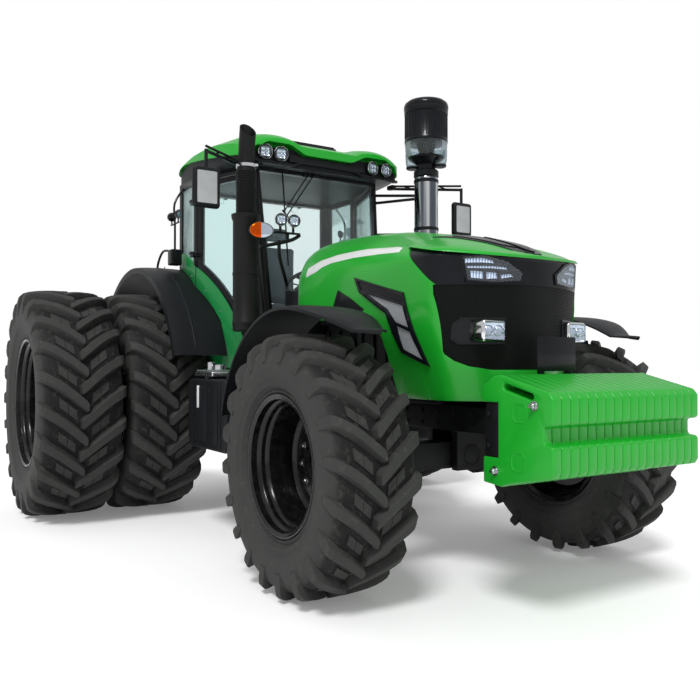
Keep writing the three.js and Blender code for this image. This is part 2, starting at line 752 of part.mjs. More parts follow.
function windscreen() {
  const low = windscreenLow + seat;
  const high = cab.railLow - seat;
  const front = [[-497, low], [497, low], [549, high], [-549, high]];
  const lean = prism("y", frontPost(24, glassWall, low, high), -600, 600);
  return lean.intersect(prism("x", front, aft(1210), aft(1710)));
}

function rearWindow() {
  const high = cab.railLow - doorGap;
  const pane = box([cab.rear + 6, -682, 1886], [cab.rear + 6 + glassWall, 682, high]);
  const hinges = [-400, 400].flatMap((y) => [
    bar([windowHinge.x, y - 40, windowHinge.z], [windowHinge.x, y + 40, windowHinge.z], 9, 12),
    box([windowHinge.x - 7, y - 36, 2830], [cab.rear + 8, y + 36, 2876]),
  ]);
  return join(pane, ...hinges);
}

function roof() {
  const low = cab.roofLow;
  const side = [
    [aft(160), low], [aft(1420), low], [aft(1435), 2895], [aft(1670), 2895], [aft(1730), 2940],
    [aft(1732), 3020],
    [aft(1690), 3070], [aft(1570), 3118], [aft(1010), 3145], [aft(410), 3120], [aft(160), 3050],
  ];
  const plan = [
    [aft(1732), 600], [aft(1650), 705], [aft(1310), 800], [aft(1110), 850], [aft(310), 850],
    [aft(160), 760],
  ];
  const outline = [...plan, ...[...plan].reverse().map(([x, y]) => [x, -y])];
  const shell = prism("y", side, -900, 900).intersect(prism("z", outline, 2800, 3200));
  const hatch = box([aft(730), -250, 3100], [aft(1310), 250, 3195]);
  return shell.add(hatch);
}

place("cab_floor", cabFloor(), blackPlastic);
place("cab_frame", cabFrame(), blackPlastic);
place("cab_roof", roof(), paint);
place("windscreen", windscreen(), glass);
place("rear_window", rearWindow(), glass);
for (const [label, side] of sides) {
  place(`door_${label}`, door(side), blackPlastic);
  place(`door_glass_${label}`, pane(side, doorOutline(doorFrame + seat)), glass);
  const quarter = pane(side, quarterOutline()).subtract(withinArch(doorSwing - doorGap + seat));
  place(`quarter_glass_${label}`, quarter, glass);
  place(`inner_fender_${label}`, innerFender(side), paint);
  place(`rear_fender_${label}`, rearFenderSolid(side), blackPlastic);
}

// ---- Inside the cab ----

const seatTop = 1700;
place("seat_base", box([aft(650), -170, cab.floorHigh + seat], [aft(970), 170, seatTop]), blackPlastic);
place("seat_cushion", box([aft(590), -260, seatTop + seat], [aft(1070), 260, seatTop + 130]), cloth);
place("seat_back", box([aft(500), -240, seatTop + 130 + seat], [aft(610), 240, 2430]), cloth);

const columnFoot = [aft(1380), 0, 1740];
const columnAxis = new THREE.Vector3(-0.47, 0, 0.8827);
const alongColumn = (distance) => new THREE.Vector3(...columnFoot).addScaledVector(columnAxis, distance).toArray();
function steeringColumn() {
  const console = box([aft(1310), -110, cab.floorHigh + seat], [aft(1470), 110, 1780]);
  const dash = box([aft(1360), -190, 1720], [aft(1480), 190, 1900]);
  return join(console, dash, bar(columnFoot, alongColumn(270), 34, 12));
}
function steeringWheel() {
  const ring = solidOf(new THREE.TorusGeometry(200, 15, 6, 18));
  const turn = new THREE.Quaternion().setFromUnitVectors(new THREE.Vector3(0, 0, 1), columnAxis);
  const seating = new THREE.Matrix4().makeRotationFromQuaternion(turn).setPosition(...alongColumn(300));
  const spokes = [90, 210, 330].map((angle) => {
    const turnBy = THREE.MathUtils.degToRad(angle);
    return bar([0, 0, 0], [196 * Math.cos(turnBy), 196 * Math.sin(turnBy), 0], 11, 10);
  });
  const wheel = join(ring, ...spokes).transform(seating.elements.slice());
  return join(wheel, bar(alongColumn(270 + pinGap), alongColumn(318), 38, 12));
}
place("steering_column", steeringColumn(), blackPlastic);
place("steering_wheel", steeringWheel(), blackPlastic);

// ---- Tanks, steps, stacks and mirrors ----

function sideTank(side) {
  const { front, rear, half, low, high } = tank;
  const inner = gearbox.half + seat;
  const outline = [
    [front - 30, low], [front, low + 30], [front, high - 40], [front - 40, high],
    [rear + 40, high], [rear, high - 40], [rear, low + 60], [rear + 60, low],
  ];
  return prism("y", outline, side * inner, side * half);
}

function steps() {
  const face = tank.half + seat;
  const treads = [430, 710, 990].map((z, i) =>
    box([aft(1310), face + 10 * i, z], [aft(1710), face + 190 - 20 * i, z + 26]),
  );
  const rails = [aft(1700), aft(1310)].map((x) => box([x, face, 430], [x + 16, face + 60, 1120]));
  return join(...treads, ...rails);
}

function exhaustStack() {
  const { x, across, sleeve, low, sleeveHigh, pipe, pipeHigh } = stack;
  return join(
    bar([x, -across, low], [x, -across, sleeveHigh], sleeve, 18),
    bar([x, -across, sleeveHigh - 5], [x, -across, pipeHigh], pipe, 16),
    bar([x, -across, pipeHigh - 5], [x, -across, 3150], 54, 14),
    bar([x, -across, low + 80], [x, -cowl.half - seat, low + 80], 48, 14),
  );
}

function airPrecleaner() {
  const { x, across, pipe, low, neckHigh, bowlLow, high, bowl } = cleaner;
  const braceX = x - 40;
  return join(
    bar([x, across, low], [x, across, neckHigh - 40], pipe, 14),
    bar([x, across, neckHigh - 45], [x, across, bowlLow + 5], 78, 14),
    bar([x, across, bowlLow - 55], [x, across, bowlLow], 90, 14, 160),
    bar([x, across, bowlLow - 1], [x, across, high], bowl, 14),
    bar([braceX, across, low + 80], [braceX, cowl.half + seat, low + 80], 32, 10),
  );
}

function mirrorSolid(side) {
  const { x, inner, outer, low, high, wall } = mirror;
  const head = box([x - wall, side * inner, low], [x, side * outer, high]);
  const across = side * (inner + outer) / 2;
  const post = bar([x - wall / 2, across, high - 10], [x - wall / 2, across, high + 90], 14, 10);
  const foot = [aft(1490), side * 715, 2875];
  const arm = bar([x - wall / 2, across, high + 80], foot, 14, 10);
  const pad = box([aft(1450), side * 690, 2855], [aft(1530), side * 735, 2895 - seat]);
  return join(head, post, arm, pad);
}

place("exhaust_stack", exhaustStack(), blackPlastic);
place("air_precleaner", airPrecleaner(), chrome);
place("steps_left", steps(), casting);
for (const [label, side] of sides) {
  place(`side_tank_${label}`, sideTank(side), blackPlastic);
  place(`mirror_${label}`, mirrorSolid(side), blackPlastic);
}

// ---- Rear hitch ----

// A flat strap between two points seen from the side, with a round eye at each end.
function strap([x0, z0], [x1, z1], halfWidth, eye, from, to) {
  const length = Math.hypot(x1 - x0, z1 - z0);
  const [nx, nz] = [(-(z1 - z0) / length) * halfWidth, ((x1 - x0) / length) * halfWidth];
  const outline = [[x0 + nx, z0 + nz], [x0 - nx, z0 - nz], [x1 - nx, z1 - nz], [x1 + nx, z1 + nz]];
  const eyes = [[x0, z0], [x1, z1]].map(([x, z]) => bar([x, from, z], [x, to, z], eye, 12));
  return join(prism("y", outline, from, to), ...eyes);
}

const armReach = [(link.endX - link.pivotX) * liftArm.share, (link.endZ - link.pivotZ) * liftArm.share];
const liftEnd = [liftArm.pivotX + armReach[0], liftArm.pivotZ + armReach[1]];
const linkMiddle = [link.pivotX + armReach[0], link.pivotZ + armReach[1]];
const strapInner = link.across - link.wall / 2;
const strapOuter = link.across + link.wall / 2;
const rodInner = strapInner - pinGap - link.wall;

// A pin that stands inward from a strap to carry the lift rod.
function liftPin(side, [x, z]) {
  return bar([x, side * (strapInner + 5), z], [x, side * (rodInner - 8), z], link.pin - 1, 12);
}

function lowerLink(side) {
  const from = side * strapInner;
  const to = side * strapOuter;
  const { pivotX, pivotZ, endX, endZ, eye, pin } = link;
  const body = strap([pivotX, pivotZ], [endX, endZ], 30, eye, from, to);
  const hole = bar([pivotX, from - side * 10, pivotZ], [pivotX, to + side * 10, pivotZ], boreRadius(pin, 12), 12);
  const ball = bar([endX, from - side * 10, endZ], [endX, to + side * 10, endZ], 18, 12);
  return join(body, liftPin(side, linkMiddle)).subtract(hole).subtract(ball);
}

function liftArms() {
  const { pivotX, pivotZ, shaft, halfWidth } = liftArm;
  const arms = [right, left].flatMap((side) => [
    strap([pivotX, pivotZ], liftEnd, halfWidth, halfWidth + 22, side * strapInner, side * strapOuter),
    liftPin(side, liftEnd),
  ]);
  return join(bar([pivotX, -strapOuter, pivotZ], [pivotX, strapOuter, pivotZ], shaft, 16), ...arms);
}

function liftRod(side) {
  const from = side * rodInner;
  const to = side * (strapInner - pinGap);
  const body = strap(liftEnd, linkMiddle, 18, 30, from, to);
  const holes = [liftEnd, linkMiddle].map(([x, z]) =>
    bar([x, from - side * 10, z], [x, to + side * 10, z], boreRadius(link.pin - 1, 12), 12),
  );
  return holes.reduce((solid, hole) => solid.subtract(hole), body);
}

function drawbar() {
  const { high, wall, half, front, rear } = drawbarSize;
  const bed = box([aft(-240), -60, high - 5], [aft(-90), 60, gearbox.low - 60 - seat]);
  const foreFoot = box([front, -60, high - 5], [front - 80, 60, gearbox.low - 60 - seat]);
  const tongue = box([front, -half, high - wall], [rear, half, high]);
  const hole = bar([rear + 60, 0, high - wall - 10], [rear + 60, 0, high + 10], 17, 14);
  return join(bed, foreFoot, tongue).subtract(hole);
}

function topLink() {
  const x = gearbox.rear - seat - 40;
  return join(
    box([gearbox.rear - seat, -45, 960], [x - 30, 45, 1040]),
    bar([x, 0, 1030], [x - 40, 0, 1560], 16, 16),
    bar([x - 40, -32, 1570], [x - 40, 32, 1570], 40, 14),
  );
}

place("lift_arms", liftArms(), casting);
for (const [label, side] of sides) {
  place(`lower_link_${label}`, lowerLink(side), casting);
  place(`lift_rod_${label}`, liftRod(side), steel);
}
place("top_link", topLink(), steel);
place("drawbar", drawbar(), casting);
place("pto_shaft", bar([gearbox.rear - pinGap, 0, pto.z], [pto.rear, 0, pto.z], pto.radius, 14), steel);

export default tractor;
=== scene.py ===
import math

import bpy
from mathutils import Matrix, Vector


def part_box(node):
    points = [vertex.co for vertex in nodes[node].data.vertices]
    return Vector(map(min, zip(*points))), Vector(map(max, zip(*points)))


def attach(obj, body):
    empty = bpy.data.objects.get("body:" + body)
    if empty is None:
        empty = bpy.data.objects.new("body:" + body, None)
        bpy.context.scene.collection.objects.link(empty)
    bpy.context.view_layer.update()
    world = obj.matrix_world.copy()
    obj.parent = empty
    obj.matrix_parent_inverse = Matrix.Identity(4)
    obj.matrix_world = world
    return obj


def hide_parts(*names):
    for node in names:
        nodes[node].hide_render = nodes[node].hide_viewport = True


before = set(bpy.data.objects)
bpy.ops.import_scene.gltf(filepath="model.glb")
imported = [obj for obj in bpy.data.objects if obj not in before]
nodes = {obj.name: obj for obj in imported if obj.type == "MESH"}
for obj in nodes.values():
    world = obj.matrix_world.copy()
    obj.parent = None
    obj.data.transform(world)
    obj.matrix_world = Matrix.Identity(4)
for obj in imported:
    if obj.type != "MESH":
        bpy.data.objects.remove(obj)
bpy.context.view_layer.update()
sides = {"right": -1, "left": 1}

# ---- Studio ----
# A pale floor and a white surround under a soft overcast light with one broad lamp, and a camera at
# standing height off the front right corner of the tractor.

scene = bpy.context.scene
scene.view_settings.view_transform = "Standard"

camera_place = Vector((5.3702, -3.2267, 1.3288))
camera_forward = Vector((-0.8466, 0.532, 0.0142))
camera_data = bpy.data.cameras.new("camera")
camera_data.lens = 39.35
camera_data.sensor_width = 36.0
camera_data.clip_end = 400.0
camera = bpy.data.objects.new("camera", camera_data)
scene.collection.objects.link(camera)
camera.location = camera_place
camera.rotation_euler = camera_forward.to_track_quat("-Z", "Y").to_euler()
scene.camera = camera


class Value:
    """A number or colour that changes over a surface. Python's signs on it add Math nodes."""

    def __init__(self, finish, socket):
        self.finish = finish
        self.socket = socket

    def math(self, operation, first, second):
        return self.finish.node("ShaderNodeMath", {"operation": operation}, {0: first, 1: second})

    def __add__(self, other):
        return self.math("ADD", self, other)

    def __sub__(self, other):
        return self.math("SUBTRACT", self, other)

    def __rsub__(self, other):
        return self.math("SUBTRACT", other, self)

    def __mul__(self, other):
        return self.math("MULTIPLY", self, other)

    def __pow__(self, other):
        return self.math("POWER", self, other)

    __radd__ = __add__
    __rmul__ = __mul__


class Finish:
    """A material: its node tree, its surface shader and the nodes that feed it."""

    def __init__(self, name, **surface):
        self.material = bpy.data.materials.new(name)
        self.material.use_nodes = True
        self.tree = self.material.node_tree
        self.surface = self.tree.nodes["Principled BSDF"]
        for socket, value in surface.items():
            self.surface.inputs[socket.replace("_", " ")].default_value = value

    def feed(self, socket, value):
        if isinstance(value, Value):
            self.tree.links.new(value.socket, socket)
        else:
            socket.default_value = value

    def node(self, kind, settings=None, inputs=None, output=0):
        made = self.tree.nodes.new(kind)
        for setting, value in (settings or {}).items():
            if setting == "stops":
                ramp = made.color_ramp.elements
                for at, (position, colour) in enumerate(value):
                    stop = ramp[at] if at < len(ramp) else ramp.new(position)
                    stop.position = position
                    stop.color = colour
            else:
                setattr(made, setting, value)
        for socket, value in (inputs or {}).items():
            self.feed(made.inputs[socket], value)
        return Value(self, made.outputs[output])

    def coords(self, stretch=(1, 1, 1), turn=(0, 0, 0)):
        own = self.node("ShaderNodeTexCoord", output="Object")
        return self.node("ShaderNodeMapping", None, {"Vector": own, "Scale": stretch, "Rotation": turn})

    def noise(self, scale, detail=2.0, stretch=(1, 1, 1)):
        grain = {"Vector": self.coords(stretch), "Scale": scale, "Detail": detail}
        return self.node("ShaderNodeTexNoise", None, grain)

    def steps(self, value, low, high):
        """0 below low, 1 above high and smooth between them."""
        shape = {"Value": value, "From Min": low, "From Max": high}
        return self.node("ShaderNodeMapRange", {"interpolation_type": "SMOOTHSTEP"}, shape)

    def blend(self, share, first, second):
        shown = {"Factor": share, "A": first, "B": second}
        made = self.tree.nodes.new("ShaderNodeMix")
        made.data_type = "RGBA"
        for socket in made.inputs:
            if socket.name in shown and (socket.type == "RGBA" or socket.identifier == "Factor_Float"):
                self.feed(socket, shown[socket.name])
        return Value(
            self, made.outputs["Result_Color"] if "Result_Color" in made.outputs else made.outputs[2],
        )

    def wear(self, **sockets):
        """Feeds the surface's own sockets with what changes over it."""
        for socket, value in sockets.items():
            self.feed(self.surface.inputs[socket.replace("_", " ")], value)

    def relief(self, height, strength, distance=0.002):
        bumped = {"Height": height, "Strength": strength, "Distance": distance}
        self.wear(Normal=self.node("ShaderNodeBump", None, bumped))


def shade(red, green, blue):
    """A colour written as a screen shows it, 0 to 255, as the linear colour that shaders take."""
    return tuple(
        ((c / 255 + 0.055) / 1.055) ** 2.4 if c > 10 else c / 3295 for c in (red, green, blue)
    ) + (1.0,)


world = bpy.data.worlds.new("surround")
scene.world = world
world.use_nodes = True
sky_tree = world.node_tree
sky = sky_tree.nodes["Background"]
ray = sky_tree.nodes.new("ShaderNodeLightPath")
seen = sky_tree.nodes.new("ShaderNodeMath")
seen.operation = "MAXIMUM"
sky_tree.links.new(ray.outputs["Is Camera Ray"], seen.inputs[0])
sky_tree.links.new(ray.outputs["Is Transmission Ray"], seen.inputs[1])
glow = sky_tree.nodes.new("ShaderNodeMapRange")
sky_tree.links.new(seen.outputs[0], glow.inputs["Value"])
glow.inputs["To Min"].default_value = 0.62
glow.inputs["To Max"].default_value = 1.0
sky.inputs["Color"].default_value = (1, 1, 1, 1)
sky_tree.links.new(glow.outputs[0], sky.inputs["Strength"])

lamp_data = bpy.data.lights.new("broad_lamp", "SUN")
lamp_data.energy = 1.9
lamp_data.angle = math.radians(14)
lamp = bpy.data.objects.new("broad_lamp", lamp_data)
scene.collection.objects.link(lamp)
lamp_from = Vector((0.55, -0.55, 1.0))
lamp.rotation_euler = lamp_from.to_track_quat("Z", "Y").to_euler()

bpy.ops.object.select_all(action="DESELECT")
bpy.ops.mesh.primitive_circle_add(vertices=96, radius=90, fill_type="NGON", location=(0, 0, -0.002))
floor = bpy.context.object
floor.name = "floor"
ground = Finish("floor", Roughness=0.9)
ground.wear(Base_Color=ground.blend(ground.noise(0.6), (0.97, 0.97, 0.97, 1), (0.93, 0.93, 0.935, 1)))
ground.surface.inputs["Specular IOR Level"].default_value = 0.1
camera_ray = ground.node("ShaderNodeLightPath", output="Is Camera Ray")
mirror_ray = ground.node("ShaderNodeLightPath", output="Is Glossy Ray")
lit = ground.node("ShaderNodeMath", {"operation": "MAXIMUM"}, {0: camera_ray, 1: mirror_ray}) * 0.16
ground.surface.inputs["Emission Strength"].default_value = 1.0
ground.wear(Emission_Color=ground.blend(lit, (0, 0, 0, 1), (1, 1, 1, 1)))
floor.data.materials.append(ground.material)

# ---- Tyres ----
# Six radial field tyres, two steered and four driven in pairs. Moulded black rubber with curved lugs
# that lean back from the middle of the tread, small blocks between them, and a ribbed guard at the bead.


def deselect():
    for ob in bpy.context.selected_objects:
        ob.select_set(False)


def named(name):
    made = bpy.context.object
    made.name = name
    made.data.name = name
    return made


def edit(*operators):
    """Runs edit mode operators on the whole of the active piece."""
    bpy.ops.object.mode_set(mode="EDIT")
    bpy.ops.mesh.select_all(action="SELECT")
    for operator, options in operators:
        operator(**options)
    bpy.ops.object.mode_set(mode="OBJECT")


def closed_and_outward():
    edit(
        (bpy.ops.mesh.remove_doubles, {"threshold": 1e-5}), (bpy.ops.mesh.fill_holes, {"sides": 0}),
        (bpy.ops.mesh.normals_make_consistent, {"inside": False}),
    )


def loft(name, rings, closed=True):
    """A skin over rings of points, shaped from a grid whose rows are the rings."""
    deselect()
    across = len(rings[0]) - (0 if closed else 1)
    bpy.ops.mesh.primitive_grid_add(x_subdivisions=across, y_subdivisions=len(rings) - 1, size=1)
    made = named(name)
    rows = [list(ring) + ([ring[0]] if closed else []) for ring in rings]
    made.data.vertices.foreach_set("co", [c for row in rows for point in row for c in point])
    made.data.update()
    if closed:
        closed_and_outward()
    return made


def turned(name, profile, steps, looped=False):
    """A profile of (radius, along) pairs spun about the Y axis."""
    deselect()
    bpy.ops.mesh.primitive_plane_add(size=0.01)
    made = named(name)
    points = [Vector((radius, along, 0)) for radius, along in profile]
    if looped:
        points.append(points[0])
    bpy.ops.object.mode_set(mode="EDIT")
    bpy.ops.mesh.merge(type="CENTER")
    bpy.ops.transform.translate(value=points[0])
    for start, end in zip(points, points[1:]):
        bpy.ops.mesh.extrude_region_move(TRANSFORM_OT_translate={"value": end - start})
    bpy.ops.mesh.select_all(action="SELECT")
    bpy.ops.mesh.spin(steps=steps, angle=2 * math.pi, center=(0, 0, 0), axis=(0, 1, 0))
    bpy.ops.mesh.select_all(action="SELECT")
    bpy.ops.mesh.remove_doubles(threshold=1e-5)
    bpy.ops.mesh.normals_make_consistent(inside=False)
    bpy.ops.object.mode_set(mode="OBJECT")
    return made


def smooth(piece, degrees=35):
    deselect()
    piece.select_set(True)
    bpy.context.view_layer.objects.active = piece
    bpy.ops.object.shade_smooth_by_angle(angle=math.radians(degrees))
    return piece


def repeated(piece, moves):
    """The piece copied by each matrix in moves, joined into one. The first pattern is used up."""
    copies = []
    for move in moves:
        copy = bpy.data.objects.new(piece.name, piece.data.copy())
        copy.data.transform(move)
        scene.collection.objects.link(copy)
        copies.append(copy)
    return joined(piece.name, *copies, used=piece)


def joined(name, *pieces, used=None):
    deselect()
    for piece in pieces:
        piece.select_set(True)
    bpy.context.view_layer.objects.active = pieces[0]
    if len(pieces) > 1:
        bpy.ops.object.join()
    made = named(name)
    if used:
        bpy.data.objects.remove(used)
    return made


def moved(piece, name, move):
    """A copy of the piece with its own mesh, somewhere else."""
    copy = bpy.data.objects.new(name, piece.data.copy())
    copy.data.transform(move)
    if move.to_3x3().determinant() < 0:
        copy.data.flip_normals()
    scene.collection.objects.link(copy)
    return copy


def fitted(piece, body, slot, material, *replaced):
    """The finished piece gets its material and its body, and the plain nodes that it stands for are hidden.
    The slot is not used.
    """
    piece.data.materials.clear()
    piece.data.materials.append(material)
    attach(piece, body)
    if replaced:
        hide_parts(*replaced)
    return piece


rubber = Finish("tyre_rubber", Roughness=0.8, Specular_IOR_Level=0.3)
rubber_tone = rubber.noise(5.0, 4.0)
rubber_dust = rubber.steps(rubber.noise(26.0, 5.0), 0.52, 0.72)
# Painted shade: the groove attribute marks the tread floor between the lugs, and the rubber there is blended
# to near black.
groove = rubber.node("ShaderNodeAttribute", {"attribute_name": "groove"}, output="Fac")
rubber_base = rubber.blend(rubber_tone, shade(44, 45, 44), shade(60, 61, 59))
rubber_base = rubber.blend(groove, rubber_base, shade(20, 20, 20))
rubber.wear(Base_Color=rubber.blend(rubber_dust * 0.35, rubber_base, shade(84, 82, 77)))
rubber.wear(Roughness=rubber_dust * 0.12 + rubber_tone * 0.25 + 0.6)
rubber.relief(rubber.noise(160.0, 3.0) + rubber.noise(900.0, 1.0) * 0.3, 0.35, 0.0012)

# Where a lug's skin runs, from its nose over the shoulder to the side wall: half widths and drops in
# shares of the tyre's half width, then how far back it lies and its half thickness at top and foot.
lug_run = [
    (-0.075, 0.0, -0.1, 0.2, -0.01, 0.085, 0.11), (-0.035, 0.0, -0.04, 0.2, 0.02, 0.135, 0.155),
    (0.23, 0.001, 0.23, 0.2, 0.255, 0.138, 0.16), (0.42, 0.006, 0.42, 0.2, 0.42, 0.134, 0.157),
    (0.6, 0.015, 0.6, 0.21, 0.555, 0.13, 0.155), (0.76, 0.034, 0.74, 0.24, 0.66, 0.128, 0.156),
    (0.88, 0.068, 0.8, 0.28, 0.735, 0.126, 0.158), (0.96, 0.14, 0.83, 0.34, 0.78, 0.124, 0.16),
    (0.992, 0.27, 0.87, 0.42, 0.815, 0.118, 0.152), (0.997, 0.43, 0.91, 0.5, 0.842, 0.102, 0.132),
    (0.992, 0.585, 0.95, 0.6, 0.86, 0.072, 0.092),
]
# Small blocks between two lugs: how far out they lie, how far back, and how far they run each way.
block_places = [(0.265, 0.285), (0.465, 0.455)]
block_reach = (0.094, 0.12)
block_slope = 0.85
block_height = 0.007
bead_inset = 0.062
tyre_steps = 96


def field_tyre(name, radius, width, bead, flange, lugs, lug_height):
    half = width / 2
    crown = radius - lug_height
    rise = crown - bead
    seat_at = (half - bead_inset) / half
    lip = (flange + 0.006) / rise
    outside = [
        (0.002, seat_at), (lip, seat_at), (lip + 0.014, seat_at + 0.05), (lip + 0.04, seat_at + 0.045),
        (lip + 0.07, seat_at + 0.02), (0.22, 0.885), (0.33, 0.935), (0.345, 0.95), (0.36, 0.945),
        (0.46, 0.972), (0.56, 0.982), (0.67, 0.978), (0.78, 0.955), (0.87, 0.912), (0.935, 0.845),
        (0.972, 0.74), (0.988, 0.55), (0.997, 0.3), (1.0, 0.0),
    ]
    wall = [(1.0 - 0.09, 0.0), (0.88, 0.55), (0.8, 0.74), (0.56, 0.86), (0.22, 0.76), (0.002, seat_at - 0.1)]
    section = [(bead + rise * up, half * out) for up, out in outside]
    section += [(r, -y) for r, y in section[-2::-1]]
    hollow = [(bead + rise * up, half * out) for up, out in wall]
    section += [(r, -y) for r, y in reversed(hollow)][:-1] + hollow
    carcass = turned("carcass", section, tyre_steps, looped=True)
    # Painted shade: the groove weight rises to 1 on the carcass near its crown, the tread floor between the
    # lugs, and darkens the rubber there. The lugs keep 0.
    depth = carcass.data.attributes.new("groove", "FLOAT", "POINT")
    for shade_at, vertex in zip(depth.data, carcass.data.vertices):
        share = (math.hypot(vertex.co.x, vertex.co.z) - bead) / rise
        shade_at.value = min(1.0, max(0.0, (share - 0.88) / 0.07)) * (abs(vertex.co.y) < half * 0.95)

    pieces = [carcass]
    for side in (1, -1):
        rings = []
        for out, drop, in_out, in_drop, back, top, foot in lug_run:
            ring = []
            for share, at, low, thick in ((1, out, drop, top), (0, in_out, in_drop, foot)):
                r = radius - half * low
                spread = thick * half / r
                turn = -back * half / radius
                edge = (1, 0.8) if share else (1,)
                here = [(turn + spread * e, r - (0 if e < 1 or not share else 0.01), at * half) for e in edge]
                there = [
                    (turn - spread * e, r - (0 if e < 1 or not share else 0.01), at * half) for e in edge
                ]
                ring.append((here, there))
            outer, inner = ring
            flat = [inner[0][0], *outer[0], *reversed(outer[1]), inner[1][0]]
            rings.append([(r * math.sin(a), side * y, r * math.cos(a)) for a, r, y in flat])
        lug = loft("lug", rings)
        blocks = []
        for at, back in block_places:
            rings.clear()
            for lift, grow in ((block_height, 1.0), (-0.012, 1.06)):
                ring = []
                for along, over in ((-1, -1), (1, -1), (1, 1), (-1, 1)):
                    out = at + block_reach[0] * along * grow
                    behind = back + math.pi * radius / lugs / half
                    behind += block_slope * (out - at) + block_reach[1] * over * grow
                    turn = -behind * half / radius
                    r = crown + lift - half * 0.02 * out * out
                    ring.append((r * math.sin(turn), side * half * out, r * math.cos(turn)))
                rings.append(ring)
            blocks.append(loft("block", rings))
        pattern = joined("lug", lug, *blocks)
        pitch = 2 * math.pi / lugs
        start = 0 if side > 0 else pitch / 2
        moves = [Matrix.Rotation(start + pitch * i, 4, "Y") for i in range(lugs)]
        pieces.append(repeated(pattern, moves))
    return smooth(joined(name, *pieces), 26)


front_tyre = field_tyre("front_tyre", 0.7425, 0.53, 0.381, 0.022, 20, 0.047)
rear_tyre = field_tyre("rear_tyre", 0.97, 0.67, 0.5335, 0.014, 22, 0.056)


def middle_of(node):
    low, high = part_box(node)
    return (low + high) / 2


for label in sides:
    tyre = moved(front_tyre, f"front_tyre_{label}", Matrix.Translation(middle_of(f"tyre_front_{label}")))
    fitted(tyre, f"front_wheel_{label}", "tyre_rubber", rubber.material, f"tyre_front_{label}")
    for place in ("inner", "outer"):
        node = f"tyre_rear_{place}_{label}"
        tyre = moved(rear_tyre, f"rear_tyre_{place}_{label}", Matrix.Translation(middle_of(node)))
        fitted(tyre, f"rear_wheels_{label}", "tyre_rubber", rubber.material, node)
bpy.data.objects.remove(front_tyre)
bpy.data.objects.remove(rear_tyre)

# ---- Rims and hubs ----
# Deep welded rims of rolled steel in gloss black, bolted to planetary hubs. The rear pairs share one drum.
rim_black = Finish("rim_paint", Roughness=0.2, Coat_Weight=0.15, Coat_Roughness=0.12, Specular_IOR_Level=0.25)
rim_haze = rim_black.steps(rim_black.noise(14.0, 4.0), 0.42, 0.7)
rim_black.wear(Base_Color=rim_black.blend(rim_haze * 0.5, shade(15, 15, 16), shade(30, 30, 30)))
rim_black.wear(Roughness=rim_haze * 0.16 + 0.2)
rim_black.relief(rim_black.noise(240.0, 2.0), 0.06, 0.001)

bright_steel = Finish("machined_steel", Metallic=1.0, Roughness=0.25)
steel_grain = bright_steel.noise(60.0, 3.0, (1, 12, 1))
bright_steel.wear(Base_Color=bright_steel.blend(steel_grain, shade(178, 180, 184), shade(214, 215, 218)))
bright_steel.wear(Roughness=steel_grain * 0.2 + 0.16)
bright_steel.relief(steel_grain, 0.08, 0.0006)

rim_steps = 72


def rolled_barrel(name, bead, half, flange, along=0.0):
    """A rim barrel with a rolled lip and steps down to the well."""
    lip = bead + flange
    edge = half - bead_inset + 0.0123
    well = bead - 0.038
    tyre_side = [
        (lip, -edge + 0.011), (bead, -edge + 0.012), (well, -edge + 0.112), (well, edge - 0.112),
        (bead, edge - 0.012), (lip, edge - 0.011),
    ]
    open_side = [
        (lip + 0.0005, edge - 0.004), (lip - 0.003, edge), (lip - 0.009, edge), (lip - 0.014, edge - 0.003),
        (bead - 0.008, edge - 0.008), (bead - 0.01, edge - 0.026), (bead - 0.012, edge - 0.044),
        (bead - 0.018, edge - 0.05), (bead - 0.028, edge - 0.058), (bead - 0.031, edge - 0.068),
        (bead - 0.032, edge - 0.088), (bead - 0.037, edge - 0.094), (bead - 0.047, edge - 0.106),
        (bead - 0.0485, edge - 0.118), (bead - 0.0485, -edge + 0.118), (bead - 0.01, -edge + 0.01),
        (lip - 0.012, -edge + 0.003), (lip - 0.004, -edge),
    ]
    section = [(r, y + along) for r, y in tyre_side + open_side]
    return turned(name, section, rim_steps, looped=True)


def bolts(name, count, ring, along, radius, height, start=0.0):
    """A ring of hexagon nuts on their washers, facing outward along Y."""
    deselect()
    bpy.ops.mesh.primitive_cylinder_add(
        vertices=6, radius=radius, depth=height, location=(ring, along + height / 2, 0),
        rotation=(math.pi / 2, 0, 0),
    )
    nut = named("nut")
    edit((bpy.ops.mesh.bevel, {"offset": radius * 0.14, "segments": 1, "affect": "EDGES"}))
    bpy.ops.object.transform_apply()
    deselect()
    bpy.ops.mesh.primitive_cylinder_add(
        vertices=14, radius=radius * 1.45, depth=height * 0.2, rotation=(math.pi / 2, 0, 0),
        location=(ring, along + height * 0.1, 0),
    )
    washer = named("washer")
    bpy.ops.object.transform_apply()
    deselect()
    bpy.ops.mesh.primitive_cylinder_add(
        vertices=10, radius=radius * 0.5, depth=height * 1.5, rotation=(math.pi / 2, 0, 0),
        location=(ring, along + height * 0.75, 0),
    )
    stud = named("stud")
    bpy.ops.object.transform_apply()
    one = joined("nut", nut, washer, stud)
    moves = [Matrix.Rotation(start + 2 * math.pi * i / count, 4, "Y") for i in range(count)]
    made = repeated(one, moves)
    made.name = name
    return made


